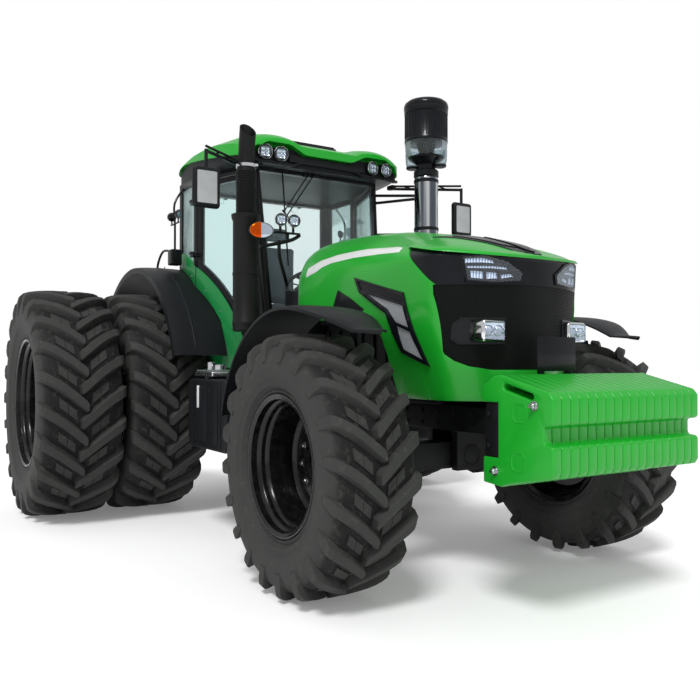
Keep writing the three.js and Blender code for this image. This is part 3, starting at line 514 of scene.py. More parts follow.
front_disc = turned(
    "front_disc",
    [
        (0, -0.017), (0.046, -0.017), (0.052, -0.021), (0.094, -0.021), (0.1, -0.026), (0.137, -0.029),
        (0.142, -0.035), (0.159, -0.035), (0.165, -0.042), (0.165, -0.068), (0.174, -0.069),
        (0.182, -0.062), (0.236, -0.064), (0.245, -0.072), (0.298, -0.07), (0.318, -0.058), (0.326, -0.047),
        (0.333, -0.05), (0.333, -0.062), (0.3, -0.088), (0.17, -0.088), (0.16, -0.112), (0, -0.112),
    ],
    rim_steps,
)
front_rim = smooth(
    joined(
        "front_rim", rolled_barrel("barrel", 0.381, 0.265, 0.022), front_disc,
        bolts("hub_bolts", 10, 0.118, -0.027, 0.009, 0.009),
        bolts("cover_bolts", 3, 0.07, -0.021, 0.007, 0.007, 0.4),
    )
)
front_nuts = smooth(bolts("wheel_nuts", 12, 0.208, -0.063, 0.016, 0.02, 0.13))
deselect()
bpy.ops.mesh.primitive_cylinder_add(vertices=16, radius=0.007, depth=0.036, location=(-0.345, 0.128, 0.06))
valve = named("valve")
bpy.ops.object.transform_apply()
edit((bpy.ops.mesh.bevel, {"offset": 0.002, "segments": 2, "affect": "EDGES"}))
deselect()
bpy.ops.mesh.primitive_cylinder_add(vertices=6, radius=0.013, depth=0.012, location=(-0.345, 0.128, 0.05))
valve_nut = named("valve_nut")
bpy.ops.object.transform_apply()
edit((bpy.ops.mesh.bevel, {"offset": 0.002, "segments": 1, "affect": "EDGES"}))
front_nuts = joined("front_nuts", front_nuts, valve, valve_nut)

rear_spacing = (middle_of("tyre_rear_outer_left") - middle_of("tyre_rear_inner_left")).y
rear_disc = [
    (0.24, 0.03), (0.262, 0.028), (0.27, 0.01), (0.35, 0.008), (0.362, 0.018), (0.42, 0.02), (0.462, 0.004),
    (0.485, 0.004), (0.485, -0.01), (0.455, -0.012), (0.42, 0.006), (0.27, -0.006), (0.24, -0.004),
]
drum = [
    (0, 0.02), (0.06, 0.02), (0.066, 0.014), (0.12, 0.014), (0.128, 0.004), (0.205, 0.0), (0.214, -0.01),
    (0.25, -0.012), (0.25, -0.24), (0.228, -0.262), (0.228, -0.64), (0.25, -0.662), (0.25, -0.99),
    (0.18, -0.992), (0, -0.992),
]
rear_rim = smooth(
    joined(
        "rear_rim", rolled_barrel("barrel", 0.5335, 0.335, 0.014),
        rolled_barrel("barrel", 0.5335, 0.335, 0.014, rear_spacing),
        turned("disc", [(r, y - 0.04) for r, y in rear_disc], rim_steps, looped=True),
        turned("disc", [(r, y - 0.04 + rear_spacing) for r, y in rear_disc], rim_steps, looped=True),
        turned("drum", [(r, y + rear_spacing + 0.018) for r, y in drum], rim_steps),
        bolts("cap_bolts", 12, 0.165, rear_spacing + 0.018, 0.01, 0.01),
    )
)
rear_nuts = smooth(bolts("rear_nuts", 10, 0.31, rear_spacing - 0.031, 0.018, 0.024))

for label, side in sides.items():
    facing = Matrix.Rotation(math.pi if side < 0 else 0, 4, "Z")
    hub = Matrix.Translation(middle_of(f"tyre_front_{label}")) @ facing
    rim = moved(front_rim, f"front_rim_{label}", hub)
    fitted(rim, f"front_wheel_{label}", "rim_paint", rim_black.material, f"rim_front_{label}")
    nuts = moved(front_nuts, f"front_wheel_nuts_{label}", hub)
    fitted(nuts, f"front_wheel_{label}", "machined_steel", bright_steel.material)
    hub = Matrix.Translation(middle_of(f"tyre_rear_inner_{label}")) @ facing
    rim = moved(rear_rim, f"rear_rims_{label}", hub)
    fitted(rim, f"rear_wheels_{label}", "rim_paint", rim_black.material, f"rims_rear_{label}")
    nuts = moved(rear_nuts, f"rear_wheel_nuts_{label}", hub)
    fitted(nuts, f"rear_wheels_{label}", "machined_steel", bright_steel.material)
for pattern in (front_rim, front_nuts, rear_rim, rear_nuts):
    bpy.data.objects.remove(pattern)

# ---- Front weights ----
# Eighteen suitcase weights of cast iron in green paint, hung side by side on the front carrier and
# clamped by two tie bolts. Each has rounded ribs at the front and a handle slot near its top.


def slab(name, axis, outline, start, end):
    """An outline pushed along an axis: (y, z) pairs along x, (x, z) pairs along y, (x, y) pairs along z."""
    deselect()
    bpy.ops.mesh.primitive_circle_add(vertices=len(outline), fill_type="NGON")
    made = named(name)
    at = {
        "x": lambda a, b: (start, a, b), "y": lambda a, b: (a, start, b), "z": lambda a, b: (a, b, start),
    }[axis]
    made.data.vertices.foreach_set("co", [c for pair in outline for c in at(*pair)])
    made.data.update()
    made.matrix_world = Matrix.Identity(4)
    push = {"x": (end - start, 0, 0), "y": (0, end - start, 0), "z": (0, 0, end - start)}[axis]
    edit(
        (bpy.ops.mesh.extrude_region_move, {"TRANSFORM_OT_translate": {"value": push}}),
        (bpy.ops.mesh.select_all, {"action": "SELECT"}),
        (bpy.ops.mesh.normals_make_consistent, {"inside": False}),
    )
    return made


def applied(piece, kind, **settings):
    """A modifier added to the piece and applied."""
    deselect()
    piece.select_set(True)
    bpy.context.view_layer.objects.active = piece
    modifier = piece.modifiers.new(kind.lower(), kind)
    for setting, value in settings.items():
        setattr(modifier, setting, value)
    bpy.ops.object.modifier_apply(modifier=modifier.name)
    return piece


def cut(piece, tool, operation="DIFFERENCE"):
    applied(piece, "BOOLEAN", object=tool, operation=operation, solver="EXACT")
    bpy.data.objects.remove(tool)
    return piece


def rounded(piece, width, segments=2, degrees=30):
    limit = math.radians(degrees)
    applied(
        piece, "BEVEL", width=width, segments=segments, limit_method="ANGLE", angle_limit=limit,
        use_clamp_overlap=True,
    )
    return smooth(piece, 38)


def stadium(centre, length, width, lean, points=8):
    """A slot's outline: two half circles joined, turned by lean."""
    outline = []
    for end in (1, -1):
        for step in range(points + 1):
            angle = -math.pi / 2 + math.pi * step / points + (0 if end > 0 else math.pi)
            u = end * (length - width) / 2 + math.cos(angle) * width / 2
            v = math.sin(angle) * width / 2
            outline.append((
                centre[0] + u * math.cos(lean) - v * math.sin(lean),
                centre[1] + u * math.sin(lean) + v * math.cos(lean),
            ))
    return outline


green = shade(27, 172, 43)
green_shadow = shade(20, 160, 38)
cast_green = Finish(
    "cast_green", Roughness=0.36, Coat_Weight=0.2, Coat_Roughness=0.15, Specular_IOR_Level=0.35,
)
cast_tone = cast_green.noise(3.0, 3.0)
cast_green.wear(Base_Color=cast_green.blend(cast_tone, green_shadow, green))
cast_green.wear(Roughness=cast_green.noise(30.0, 2.0) * 0.2 + 0.3)
cast_green.relief(cast_green.noise(90.0, 4.0) + cast_green.noise(18.0, 2.0), 0.28, 0.0016)

weights_low, weights_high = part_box("front_weights")
weight_count = 18
weight_pitch = (weights_high.y - weights_low.y) / weight_count
weight_gap = 0.0016
face = weights_high.x
weight_outline = [
    (face - 0.294, 0.72), (face - 0.016, 0.778), (face, 0.806), (face, 0.918), (face - 0.012, 0.93),
    (face - 0.05, 0.934), (face - 0.06, 0.946), (face - 0.06, 1.006), (face - 0.05, 1.018),
    (face - 0.012, 1.022), (face, 1.036), (face, 1.15), (face - 0.026, 1.18), (face - 0.344, 1.26),
    (face - 0.4, 1.252), (face - 0.484, 1.195), (face - 0.484, 1.12), (face - 0.365, 1.12),
    (face - 0.365, 0.841), (face - 0.474, 0.841), (face - 0.474, 0.71), (face - 0.344, 0.7),
]
weight = slab("weight", "y", weight_outline, weight_gap / 2, weight_pitch - weight_gap / 2)
handle = slab(
    "handle", "y", stadium((face - 0.225, 1.178), 0.21, 0.034, math.radians(-14)), -0.01, weight_pitch + 0.01,
)
cut(weight, handle)
rounded(weight, 0.008, 3)
stack_of = repeated(
    weight, [Matrix.Translation((0, weights_low.y + weight_pitch * i, 0)) for i in range(weight_count)]
)


def soft_square(across, up, half):
    """The outline of a square with cut corners."""
    reach = half * 0.62
    corners = [
        (half, reach), (reach, half), (-reach, half), (-half, reach), (-half, -reach), (-reach, -half),
        (reach, -half), (half, -reach),
    ]
    return [(across + a, up + b) for a, b in corners]


pads = []
for side in (-1, 1):
    for across, up, size in ((face - 0.215, 1.075, 0.098), (face - 0.225, 0.835, 0.098)):
        pad = slab(
            "pad", "y", soft_square(across, up, size / 2), side * (weights_high.y - 0.004),
            side * (weights_high.y + 0.0015),
        )
        hollow = slab(
            "pad_hollow", "y", soft_square(across, up, size * 0.42), side * (weights_high.y - 0.0005),
            side * (weights_high.y + 0.02),
        )
        pads.append(rounded(cut(pad, hollow), 0.001, 1))
front_weights = smooth(joined("front_weight_stack", stack_of, *pads), 40)
fitted(front_weights, "chassis", "green_paint", cast_green.material, "front_weights")

tie_bolts = []
for along, up in ((face - 0.115, 1.115), (face - 0.385, 0.775)):
    for side in (-1, 1):
        bolt = bolts("tie_bolt", 1, 0.0, 0.0, 0.017, 0.022)
        turn = Matrix.Rotation(0 if side > 0 else math.pi, 4, "Z")
        bolt.data.transform(Matrix.Translation((along, side * weights_high.y, up)) @ turn)
        tie_bolts.append(bolt)
tie_bolts = smooth(joined("weight_tie_bolts", *tie_bolts))
fitted(tie_bolts, "chassis", "machined_steel", bright_steel.material)

# ---- Hood ----
# One pressed hood from the cab to the nose in green paint, rounded over its shoulders, with its front cut
# out for the lamp band and the grille. It tips up on a hinge at its rear, and all that it carries goes
# with it.
hood_low, hood_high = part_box("hood_shell")
hood_rear = hood_low.x
nose_depth = 0.77
nose_x = hood_high.x - nose_depth

# Stations along the plan outline from the rear to the tip: x from the rear end of the nose, half width.
hood_plan = [
    (-1.3, 0.455), (-1.0, 0.498), (-0.6, 0.545), (-0.3, 0.575), (0.0, 0.596), (0.2, 0.602), (0.35, 0.6),
    (0.44, 0.592), (0.5, 0.576), (0.548, 0.534), (0.592, 0.478), (0.634, 0.418), (0.672, 0.354),
    (0.706, 0.286), (0.733, 0.218), (0.752, 0.152), (0.765, 0.08), (0.769, 0.034),
]
hood_top = [
    (-1.3, 2.278), (-0.9, 2.266), (-0.43, 2.224), (-0.2, 2.188), (0.15, 2.122), (0.3, 2.085), (0.5, 2.021),
    (0.64, 1.966), (0.77, 1.922),
]
hood_shoulder = [
    (-1.3, 0.42), (-0.9, 0.41), (-0.2, 0.35), (0.1, 0.27), (0.35, 0.165), (0.5, 0.11), (0.64, 0.055),
    (0.77, 0.016),
]
# Up the side: height share, how much the half width keeps, how far the nose stands back.
hood_wall = [
    (1.1, 0.74, 0.06), (1.22, 0.812, 0.036), (1.34, 0.886, 0.025), (1.46, 0.952, 0.018),
    (1.58, 0.988, 0.014), (1.7, 1.0, 0.011), (1.8, 1.0, 0.008),
]
hood_crown = [
    (1.0, 1.0), (0.992, 0.86), (0.972, 0.74), (0.933, 0.61), (0.85, 0.44), (0.733, 0.305), (0.6, 0.2),
    (0.433, 0.11), (0.22, 0.03), (0.08, 0.004), (0.0, 0.0),
]


def along_line(table, x):
    for (x0, y0), (x1, y1) in zip(table, table[1:]):
        if x <= x1:
            return y0 + (y1 - y0) * max(0.0, (x - x0) / (x1 - x0))
    return table[-1][1]


def spline(points, each=4):
    """A smooth curve through points, each step cut into even parts."""
    smooth_points = []
    for i in range(len(points) - 1):
        p0, p1, p2 = (Vector(points[max(0, min(len(points) - 1, j))]) for j in (i - 1, i, i + 1))
        p3 = Vector(points[min(len(points) - 1, i + 2)])
        for step in range(each):
            t = step / each
            smooth_points.append(tuple(
                0.5 * (2 * p1 + (p2 - p0) * t + (2 * p0 - 5 * p1 + 4 * p2 - p3) * t * t
                       + (3 * p1 - p0 - 3 * p2 + p3) * t ** 3)
            ))
    return smooth_points + [tuple(points[-1])]


smooth_plan = spline(hood_plan, 3)
smooth_wall = spline(hood_wall, 3)
smooth_top = spline(hood_top, 6)
smooth_shoulder = spline(hood_shoulder, 6)
smooth_crown = spline(hood_crown, 2)


def hood_form(grow=0.0):
    """The closed outer form of the hood, grown or shrunk all round."""
    right_side = [(x, -half) for x, half in smooth_plan]
    full = right_side + [(smooth_plan[-1][0] + 0.001, 0.0)] + list(reversed(smooth_plan))
    rings = []

    def ring(keep, back, height):
        made = []
        for x, y in full:
            share = min(1.0, max(0.0, (x - 0.2) / 0.3))
            half = abs(y)
            out = half * keep + grow * min(1.0, half / 0.3) * min(1.0, keep / 0.3)
            forward = x - back * share + grow * share
            if x <= -1.299:
                forward = x - (0.05 if grow < 0 else grow * 0.5)
            made.append((nose_x + forward, math.copysign(out, y), height(x)))
        return made

    for level, keep, back in smooth_wall:
        def height(x, level=level):
            top = along_line(smooth_top, x) - along_line(smooth_shoulder, x)
            share = (level - 1.1) / 0.72
            return 1.1 - grow + (top - 1.1 + grow) * min(1.0, share)
        rings.append(ring(keep, back, height))
    for keep, drop in smooth_crown:
        def height(x, drop=drop):
            return along_line(smooth_top, x) + grow - along_line(smooth_shoulder, x) * drop
        rings.append(ring(keep, 0.006 * min(1.0, drop), height))
    return loft("hood_form", rings)


def hood_patch(name, axis, outline, start, end, proud, depth):
    """A panel that follows the hood's skin inside an outline, between two depths."""
    outer = hood_form(proud)
    cut(outer, slab("patch", axis, outline, start, end), "INTERSECT")
    cut(outer, hood_form(-depth))
    outer.name = name
    return outer


def from_nose(pairs):
    """Outline points whose x is given from the rear end of the nose."""
    return [(nose_x + x, across) for x, across in pairs]


def both_halves(half):
    """An outline across the tractor from its left half, given upward."""
    return half + [(-y, z) for y, z in reversed(half)]


grille_half = [
    (0.0, 1.272), (0.28, 1.278), (0.385, 1.298), (0.45, 1.328), (0.494, 1.366), (0.502, 1.384),
    (0.516, 1.45), (0.545, 1.59), (0.569, 1.7), (0.572, 1.754),
]
grille_outline = both_halves(grille_half[1:])
band_outline = from_nose(
    [(0.225, 2.003), (0.5, 1.945), (0.64, 1.922), (0.82, 1.896), (0.82, 1.752), (0.505, 1.752)]
)
wheel_cut = from_nose([
    (-1.36, 1.0), (-0.02, 1.0), (-0.015, 1.11), (-0.005, 1.38), (-0.015, 1.46), (-0.05, 1.53),
    (-0.09, 1.56), (-0.5, 1.6), (-1.36, 1.64),
])

chin_hole = [
    (hood_rear - 0.1, -0.35), (nose_x + 0.44, -0.35), (nose_x + 0.6, -0.212), (nose_x + 0.665, -0.205),
]
chin_hole += [(x, -y) for x, y in reversed(chin_hole)]
skin = hood_form()
cut(skin, hood_form(-0.018))
cut(skin, slab("opening", "z", chin_hole, 1.0, 1.15))
for side in (-1, 1):
    cut(skin, slab("wheel_cut", "y", wheel_cut, side * 0.3, side * 0.7))
cut(skin, slab("grille_hole", "x", grille_outline, nose_x + 0.35, nose_x + 0.85))
cut(skin, slab("band_hole", "y", band_outline, -0.7, 0.7))
seam = from_nose([(0.3, 1.085), (0.336, 1.4), (0.339, 1.4), (0.303, 1.085)])
for side in (-1, 1):
    groove = hood_form(0.01)
    cut(groove, hood_form(-0.004))
    cut(groove, slab("seam", "y", seam, side * 0.3, side * 0.7), "INTERSECT")
    cut(skin, groove)
rounded(skin, 0.0022, 2, 40)
applied(skin, "TRIANGULATE", min_vertices=5)
skin.name = "hood_skin"

paint = Finish("green_paint", Roughness=0.3, Coat_Weight=0.25, Coat_Roughness=0.08, Specular_IOR_Level=0.35)
paint_tone = paint.noise(1.3, 2.0)
paint.wear(Base_Color=paint.blend(paint_tone, green_shadow, green))
paint.wear(Roughness=paint.noise(22.0, 3.0) * 0.14 + 0.26)
paint.relief(paint.noise(420.0, 1.0), 0.035, 0.0006)
fitted(skin, "hood", "green_paint", paint.material, "hood_shell")

satin_black = Finish("gloss_black", Roughness=0.25, Coat_Weight=0.15, Specular_IOR_Level=0.15)
satin_tone = satin_black.noise(9.0, 3.0)
satin_black.wear(Base_Color=satin_black.blend(satin_tone, shade(10, 12, 15), shade(20, 22, 28)))
satin_black.wear(Roughness=satin_tone * 0.16 + 0.22)
satin_black.relief(satin_black.noise(700.0, 1.0), 0.05, 0.0005)

band = hood_patch("lamp_band", "y", band_outline, -0.7, 0.7, -0.004, 0.02)
rounded(band, 0.002, 1, 40)
fitted(band, "hood", "gloss_black", satin_black.material, "headlight_band")

mesh_black = Finish("grille_mesh", Roughness=0.55, Specular_IOR_Level=0.12)
hexes = mesh_black.node(
    "ShaderNodeTexVoronoi", {"feature": "DISTANCE_TO_EDGE"},
    {"Vector": mesh_black.coords((0.02, 1, 1)), "Scale": 118.0, "Randomness": 0.0},
)
# The wires are the mesh's own pattern. The near-black between them is painted shade, seen through the
# openings.
wires = 1 - mesh_black.steps(hexes, 0.1, 0.22)
mesh_black.wear(Base_Color=mesh_black.blend(wires, shade(5, 6, 6), shade(24, 27, 25)))
mesh_black.wear(Roughness=0.85 - wires * 0.4)
mesh_black.relief(wires, 0.9, 0.003)
inner_grille = [(y * 0.996, z + 0.002 if z < 1.5 else z - 0.002) for y, z in grille_outline]
grille = hood_patch("grille_panel", "x", inner_grille, nose_x + 0.36, nose_x + 0.85, -0.007, 0.024)
smooth(grille)
fitted(grille, "hood", "black_plastic", mesh_black.material, "grille")

lip = hood_patch(
    "nose_lip", "y",
    from_nose([
        (0.207, 2.005), (0.5, 1.945), (0.64, 1.922), (0.82, 1.896),
        (0.82, 1.909), (0.64, 1.938), (0.5, 1.963), (0.207, 2.023),
    ]),
    -0.7, 0.7, 0.009, 0.01,
)
rounded(lip, 0.003, 2, 40)
fitted(lip, "hood", "green_paint", paint.material)

arrow = [(0.15, 0.3), (0.185, 0.29), (0.64, 0.115), (0.735, 0.03)]
arrow_outline = from_nose(arrow) + [(x, -y) for x, y in reversed(from_nose(arrow))] + [(nose_x + 0.23, 0.0)]
panel = hood_patch("nose_panel", "z", arrow_outline, 1.6, 2.3, 0.004, 0.006)
ridge_outline = [(nose_x + x, y) for x, y in ((0.3, 0.018), (0.7, 0.01), (0.7, -0.01), (0.3, -0.018))]
ridge = hood_patch("nose_ridge", "z", ridge_outline, 1.6, 2.3, 0.011, 0.004)
cheeks = []
for side in (-1, 1):
    cheek = [(nose_x + x, side * y) for x, y in ((0.29, 0.06), (0.6, 0.04), (0.56, 0.11), (0.24, 0.215))]
    cheeks.append(hood_patch("nose_cheek", "z", cheek, 1.6, 2.3, 0.008, 0.004))
panel = rounded(joined("nose_panel", panel, ridge, *cheeks), 0.002, 1, 40)
fitted(panel, "hood", "gloss_black", satin_black.material)

# ---- Lamps, vents and trim on the hood ----
# Moulded lamp clusters with chrome reflectors behind clear lenses, chrome fog lamps in the grille, louvred
# side vents in black frames and a white side stripe. All of it clips to the hood and tips with it.
chrome = Finish("bright_pipe", Metallic=1.0, Roughness=0.1)
chrome_haze = chrome.noise(11.0, 3.0)
chrome.wear(Base_Color=chrome.blend(chrome_haze, shade(206, 208, 212), shade(236, 237, 240)))
chrome.wear(Roughness=chrome_haze * 0.12 + 0.05)


def clear_finish(name, tint, gloss, reflect=0.6):
    """Thin clear glass or plastic: it lets light straight through, tints it, and shines more edge on."""
    made = Finish(name, Roughness=gloss, Base_Color=tint, Specular_IOR_Level=0.8)
    through = made.tree.nodes.new("ShaderNodeBsdfTransparent")
    through.inputs["Color"].default_value = tint
    mix = made.tree.nodes.new("ShaderNodeMixShader")
    edge = made.node("ShaderNodeLayerWeight", None, {"Blend": 0.22}, "Fresnel")
    smear = made.noise(2.5, 3.0)
    made.feed(mix.inputs[0], edge * reflect + smear * 0.04 + 0.01)
    made.tree.links.new(through.outputs[0], mix.inputs[1])
    made.tree.links.new(made.surface.outputs[0], mix.inputs[2])
    made.tree.links.new(mix.outputs[0], made.tree.nodes["Material Output"].inputs["Surface"])
    made.wear(Roughness=smear * 0.08 + gloss)
    return made


lamp_reach = (nose_x + 0.3, nose_x + 0.85)
lens = clear_finish("lamp_lens", (0.93, 0.96, 1.0, 1), 0.02, 0.2)

bezel_half = [
    (0.126, 1.768), (0.297, 1.758), (0.436, 1.768), (0.461, 1.914), (0.36, 1.926), (0.225, 1.894),
    (0.113, 1.824),
]
lens_half = [
    (0.146, 1.776), (0.297, 1.766), (0.428, 1.776), (0.452, 1.904), (0.358, 1.915), (0.23, 1.882),
    (0.133, 1.82),
]
pods = [
    [(0.193, 1.798), (0.259, 1.786), (0.263, 1.806), (0.209, 1.812)],
    [(0.281, 1.786), (0.335, 1.783), (0.335, 1.82), (0.286, 1.817)],
    [(0.353, 1.784), (0.409, 1.789), (0.416, 1.828), (0.355, 1.824)],
    [(0.225, 1.836), (0.306, 1.842), (0.428, 1.844), (0.432, 1.854), (0.306, 1.854), (0.236, 1.848)],
    [(0.297, 1.87), (0.369, 1.874), (0.437, 1.872), (0.441, 1.894), (0.36, 1.898), (0.306, 1.884)],
]
bulb_metal = Finish("lamp_reflector", Metallic=0.9, Roughness=0.14)
flutes_and_painted_reflection = bulb_metal.node(
    "ShaderNodeTexWave", {"bands_direction": "Y"},
    {"Vector": bulb_metal.coords(), "Scale": 22.0, "Distortion": 1.5, "Detail": 2.0},
)
# Painted reflection: the base colour runs in bluish grey and white bands along the flutes. The flutes' relief
# and roughness are real.
bulb_metal.wear(Base_Color=bulb_metal.blend(flutes_and_painted_reflection, shade(150, 165, 190), shade(250, 252, 255)))
bulb_metal.wear(Roughness=flutes_and_painted_reflection * 0.1 + 0.08)
bulb_metal.relief(flutes_and_painted_reflection, 0.6, 0.003)
for label, side in sides.items():
    def front_view(half):
        return [(side * y, z) for y, z in half]

    bezel = hood_patch(f"lamp_bezel_{label}", "x", front_view(bezel_half), *lamp_reach, 0.004, 0.006)
    cut(bezel, slab("bezel_hole", "x", front_view(lens_half), *lamp_reach))
    rounded(bezel, 0.0015, 1)
    fitted(bezel, "hood", "gloss_black", satin_black.material)
    bowls = [hood_patch("reflector", "x", front_view(pod), *lamp_reach, 0.0005, 0.006) for pod in pods]
    bowls = rounded(joined(f"lamp_reflectors_{label}", *bowls), 0.003, 2)
    fitted(bowls, "hood", "bright_pipe", bulb_metal.material)
    back = hood_patch(f"lamp_back_{label}", "x", front_view(lens_half), *lamp_reach, -0.003, 0.008)
    fitted(back, "hood", "gloss_black", satin_black.material)
    cover = hood_patch(f"lamp_lens_{label}", "x", front_view(lens_half), *lamp_reach, 0.003, -0.001)
    fitted(smooth(cover), "hood", "cab_glass", lens.material)

# Fog lamps: a chrome housing with two round reflectors under one lens, turned a little outward.
def prism_block(name, low, high, width, segments=2):
    deselect()
    middle = (Vector(low) + Vector(high)) / 2
    size = Vector(high) - Vector(low)
    bpy.ops.mesh.primitive_cube_add(size=1, location=middle)
    made = named(name)
    made.scale = size
    bpy.ops.object.transform_apply()
    return rounded(made, width, segments)


def facing(x, y, z, turn, tilt=0.0):
    """Puts a piece made at the origin, looking along +X, at a place, turned about Z and tilted down."""
    return Matrix.Translation((x, y, z)) @ Matrix.Rotation(turn, 4, "Z") @ Matrix.Rotation(tilt, 4, "Y")


def forward(piece):
    """A turned piece that looks along +Y set to look along +X."""
    piece.data.transform(Matrix.Rotation(-math.pi / 2, 4, "Z"))
    return piece


fog_half = (0.082, 0.062)
pocket_edge = [(0.225, 1.425), (0.445, 1.42), (0.482, 1.45), (0.482, 1.54), (0.445, 1.57), (0.225, 1.57)]
hollow_edge = [
    (0.233, 1.433), (0.44, 1.428), (0.473, 1.454), (0.473, 1.536), (0.44, 1.562), (0.233, 1.562),
]
fog_body = prism_block(
    "fog_body", (-0.11, -fog_half[0], -fog_half[1]), (0.03, fog_half[0], fog_half[1]), 0.022, 4,
)
fog_mouth = prism_block(
    "fog_mouth", (0.014, -fog_half[0] + 0.012, -fog_half[1] + 0.012),
    (0.05, fog_half[0] - 0.012, fog_half[1] - 0.012), 0.01, 3,
)
cut(fog_body, fog_mouth)
smooth(fog_body)
bowl_profile = [
    (0, 0.0), (0.01, 0.001), (0.02, 0.006), (0.026, 0.014), (0.028, 0.022), (0.03, 0.02), (0.028, 0.004),
    (0, -0.004),
]
fog_bowls = []
for across in (-0.036, 0.036):
    bowl = forward(turned("fog_bowl", bowl_profile, 24))
    bowl.data.transform(Matrix.Translation((0.002, across, 0)))
    fog_bowls.append(bowl)
fog_bowls = smooth(joined("fog_bowls", *fog_bowls))
fog_glass = prism_block(
    "fog_glass", (0.0235, -fog_half[0] + 0.011, -fog_half[1] + 0.011),
    (0.026, fog_half[0] - 0.011, fog_half[1] - 0.011), 0.0008, 1,
)
for label, side in sides.items():
    at = facing(nose_x + 0.705, side * 0.328, 1.495, side * 0.04)
    fitted(
        moved(
            joined("fog", moved(fog_body, "f", Matrix()), moved(fog_bowls, "g", Matrix())),
            f"fog_lamp_{label}", at,
        ),
        "hood", "bright_pipe", chrome.material,
    )
    fitted(moved(fog_glass, f"fog_glass_{label}", at), "hood", "cab_glass", lens.material)
    bpy.data.objects.remove(bpy.data.objects["fog"])
    pocket = hood_patch(
        f"fog_pocket_{label}", "x", [(side * y, z) for y, z in pocket_edge], *lamp_reach, -0.003, 0.012,
    )
    hollow = hood_patch(
        "pocket_hollow", "x", [(side * y, z) for y, z in hollow_edge], *lamp_reach, 0.01, 0.0065,
    )
    cut(pocket, hollow)
    fitted(rounded(pocket, 0.0015, 1), "hood", "gloss_black", satin_black.material)
for pattern in (fog_body, fog_bowls, fog_glass):
    bpy.data.objects.remove(pattern)

stripe_white = Finish("cab_paint", Roughness=0.3, Coat_Weight=0.3)
stripe_tone = stripe_white.noise(6.0, 2.0)
stripe_white.wear(Base_Color=stripe_white.blend(stripe_tone, shade(222, 224, 224), shade(240, 241, 240)))
stripe_white.relief(stripe_white.noise(500.0, 1.0), 0.03, 0.0005)
vent_grey = Finish("vent_mesh", Roughness=0.45, Metallic=0.2)
weave = vent_grey.node(
    "ShaderNodeTexVoronoi", {"feature": "DISTANCE_TO_EDGE"},
    {"Vector": vent_grey.coords((1, 0.02, 1)), "Scale": 150.0, "Randomness": 0.0},
)
# The strands are the mesh's own pattern. The darker grey between them is painted shade, seen through the
# openings.
strands = 1 - vent_grey.steps(weave, 0.12, 0.26)
vent_grey.wear(Base_Color=vent_grey.blend(strands, shade(88, 92, 96), shade(198, 202, 206)))
vent_grey.relief(strands, 0.8, 0.003)

stripe = from_nose([
    (-1.16, 1.95), (-1.165, 2.02), (-0.96, 2.056), (-0.7, 2.068), (-0.3, 2.058), (0.06, 2.026), (0.13, 2.01),
    (0.145, 1.978), (-0.1, 1.996), (-0.42, 2.01), (-0.74, 2.012), (-0.88, 1.998), (-0.985, 1.972),
])
vent = from_nose(
    [(-0.31, 1.866), (0.262, 1.726), (0.385, 1.296), (0.165, 1.376), (0.075, 1.612), (-0.24, 1.766)]
)
vent_slat = from_nose([(-0.262, 1.84), (0.238, 1.712), (0.262, 1.668), (-0.12, 1.762), (-0.222, 1.778)])
vent_cells = [
    from_nose([(-0.15, 1.752), (0.252, 1.652), (0.286, 1.52), (0.165, 1.56), (0.094, 1.64)]),
    from_nose([(0.172, 1.538), (0.29, 1.498), (0.35, 1.332), (0.19, 1.398)]),
]
side_patch = from_nose([(-0.68, 1.64), (-0.56, 1.806), (-0.38, 1.742), (-0.19, 1.655), (-0.26, 1.62)])
for label, side in sides.items():
    near, far = (side * 0.25, side * 0.72)
    patch = hood_patch(f"side_patch_{label}", "y", side_patch, near, far, 0.003, 0.006)
    fitted(rounded(patch, 0.001, 1), "hood", "gloss_black", satin_black.material)
    white = hood_patch(f"side_stripe_{label}", "y", stripe, near, far, 0.0012, 0.003)
    fitted(rounded(white, 0.0006, 1), "hood", "cab_paint", stripe_white.material)
    vent_frame = hood_patch(f"vent_frame_{label}", "y", vent, near, far, 0.01, 0.012)
    for hole in (vent_slat, *vent_cells):
        cut(vent_frame, slab("vent_hole", "y", hole, near, far))
    fitted(rounded(vent_frame, 0.003, 2), "hood", "gloss_black", satin_black.material)
    slats = [hood_patch("vent_slat", "y", vent_slat, near, far, 0.001, 0.008)]
    for step in range(3):
        share = (step + 1) / 4
        start, end = vent_slat[0], vent_slat[1]
        foot, toe = vent_slat[4], vent_slat[2]
        a = tuple(p + (q - p) * share for p, q in zip(start, foot))
        b = tuple(p + (q - p) * share for p, q in zip(end, toe))
        line = [a, b, (b[0], b[1] - 0.006), (a[0], a[1] - 0.006)]
        slats.append(hood_patch("vent_slat", "y", line, near, far, 0.006, 0.004))
    slats = rounded(joined(f"vent_slats_{label}", *slats), 0.001, 1)
    fitted(slats, "hood", "gloss_black", satin_black.material)
    cells = [hood_patch("vent_cell", "y", cell, near, far, 0.0035, 0.01) for cell in vent_cells]
    fitted(smooth(joined(f"vent_mesh_{label}", *cells)), "hood", "stack_black", vent_grey.material)

# A blank number plate on a folded bracket that stands on the weights.
plate = prism_block("blank_plate", (nose_x + 0.868, -0.15, 1.272), (nose_x + 0.872, 0.15, 1.462), 0.0015, 2)
post = prism_block(
    "plate_post", (nose_x + 0.85, -0.13, weights_high.z - 0.022), (nose_x + 0.8675, -0.09, 1.4), 0.003, 2,
)
post_two = moved(post, "plate_post_two", Matrix.Translation((0, 0.22, 0)))
plate = joined("blank_plate", plate, post, post_two)
fitted(plate, "chassis", "gloss_black", satin_black.material)

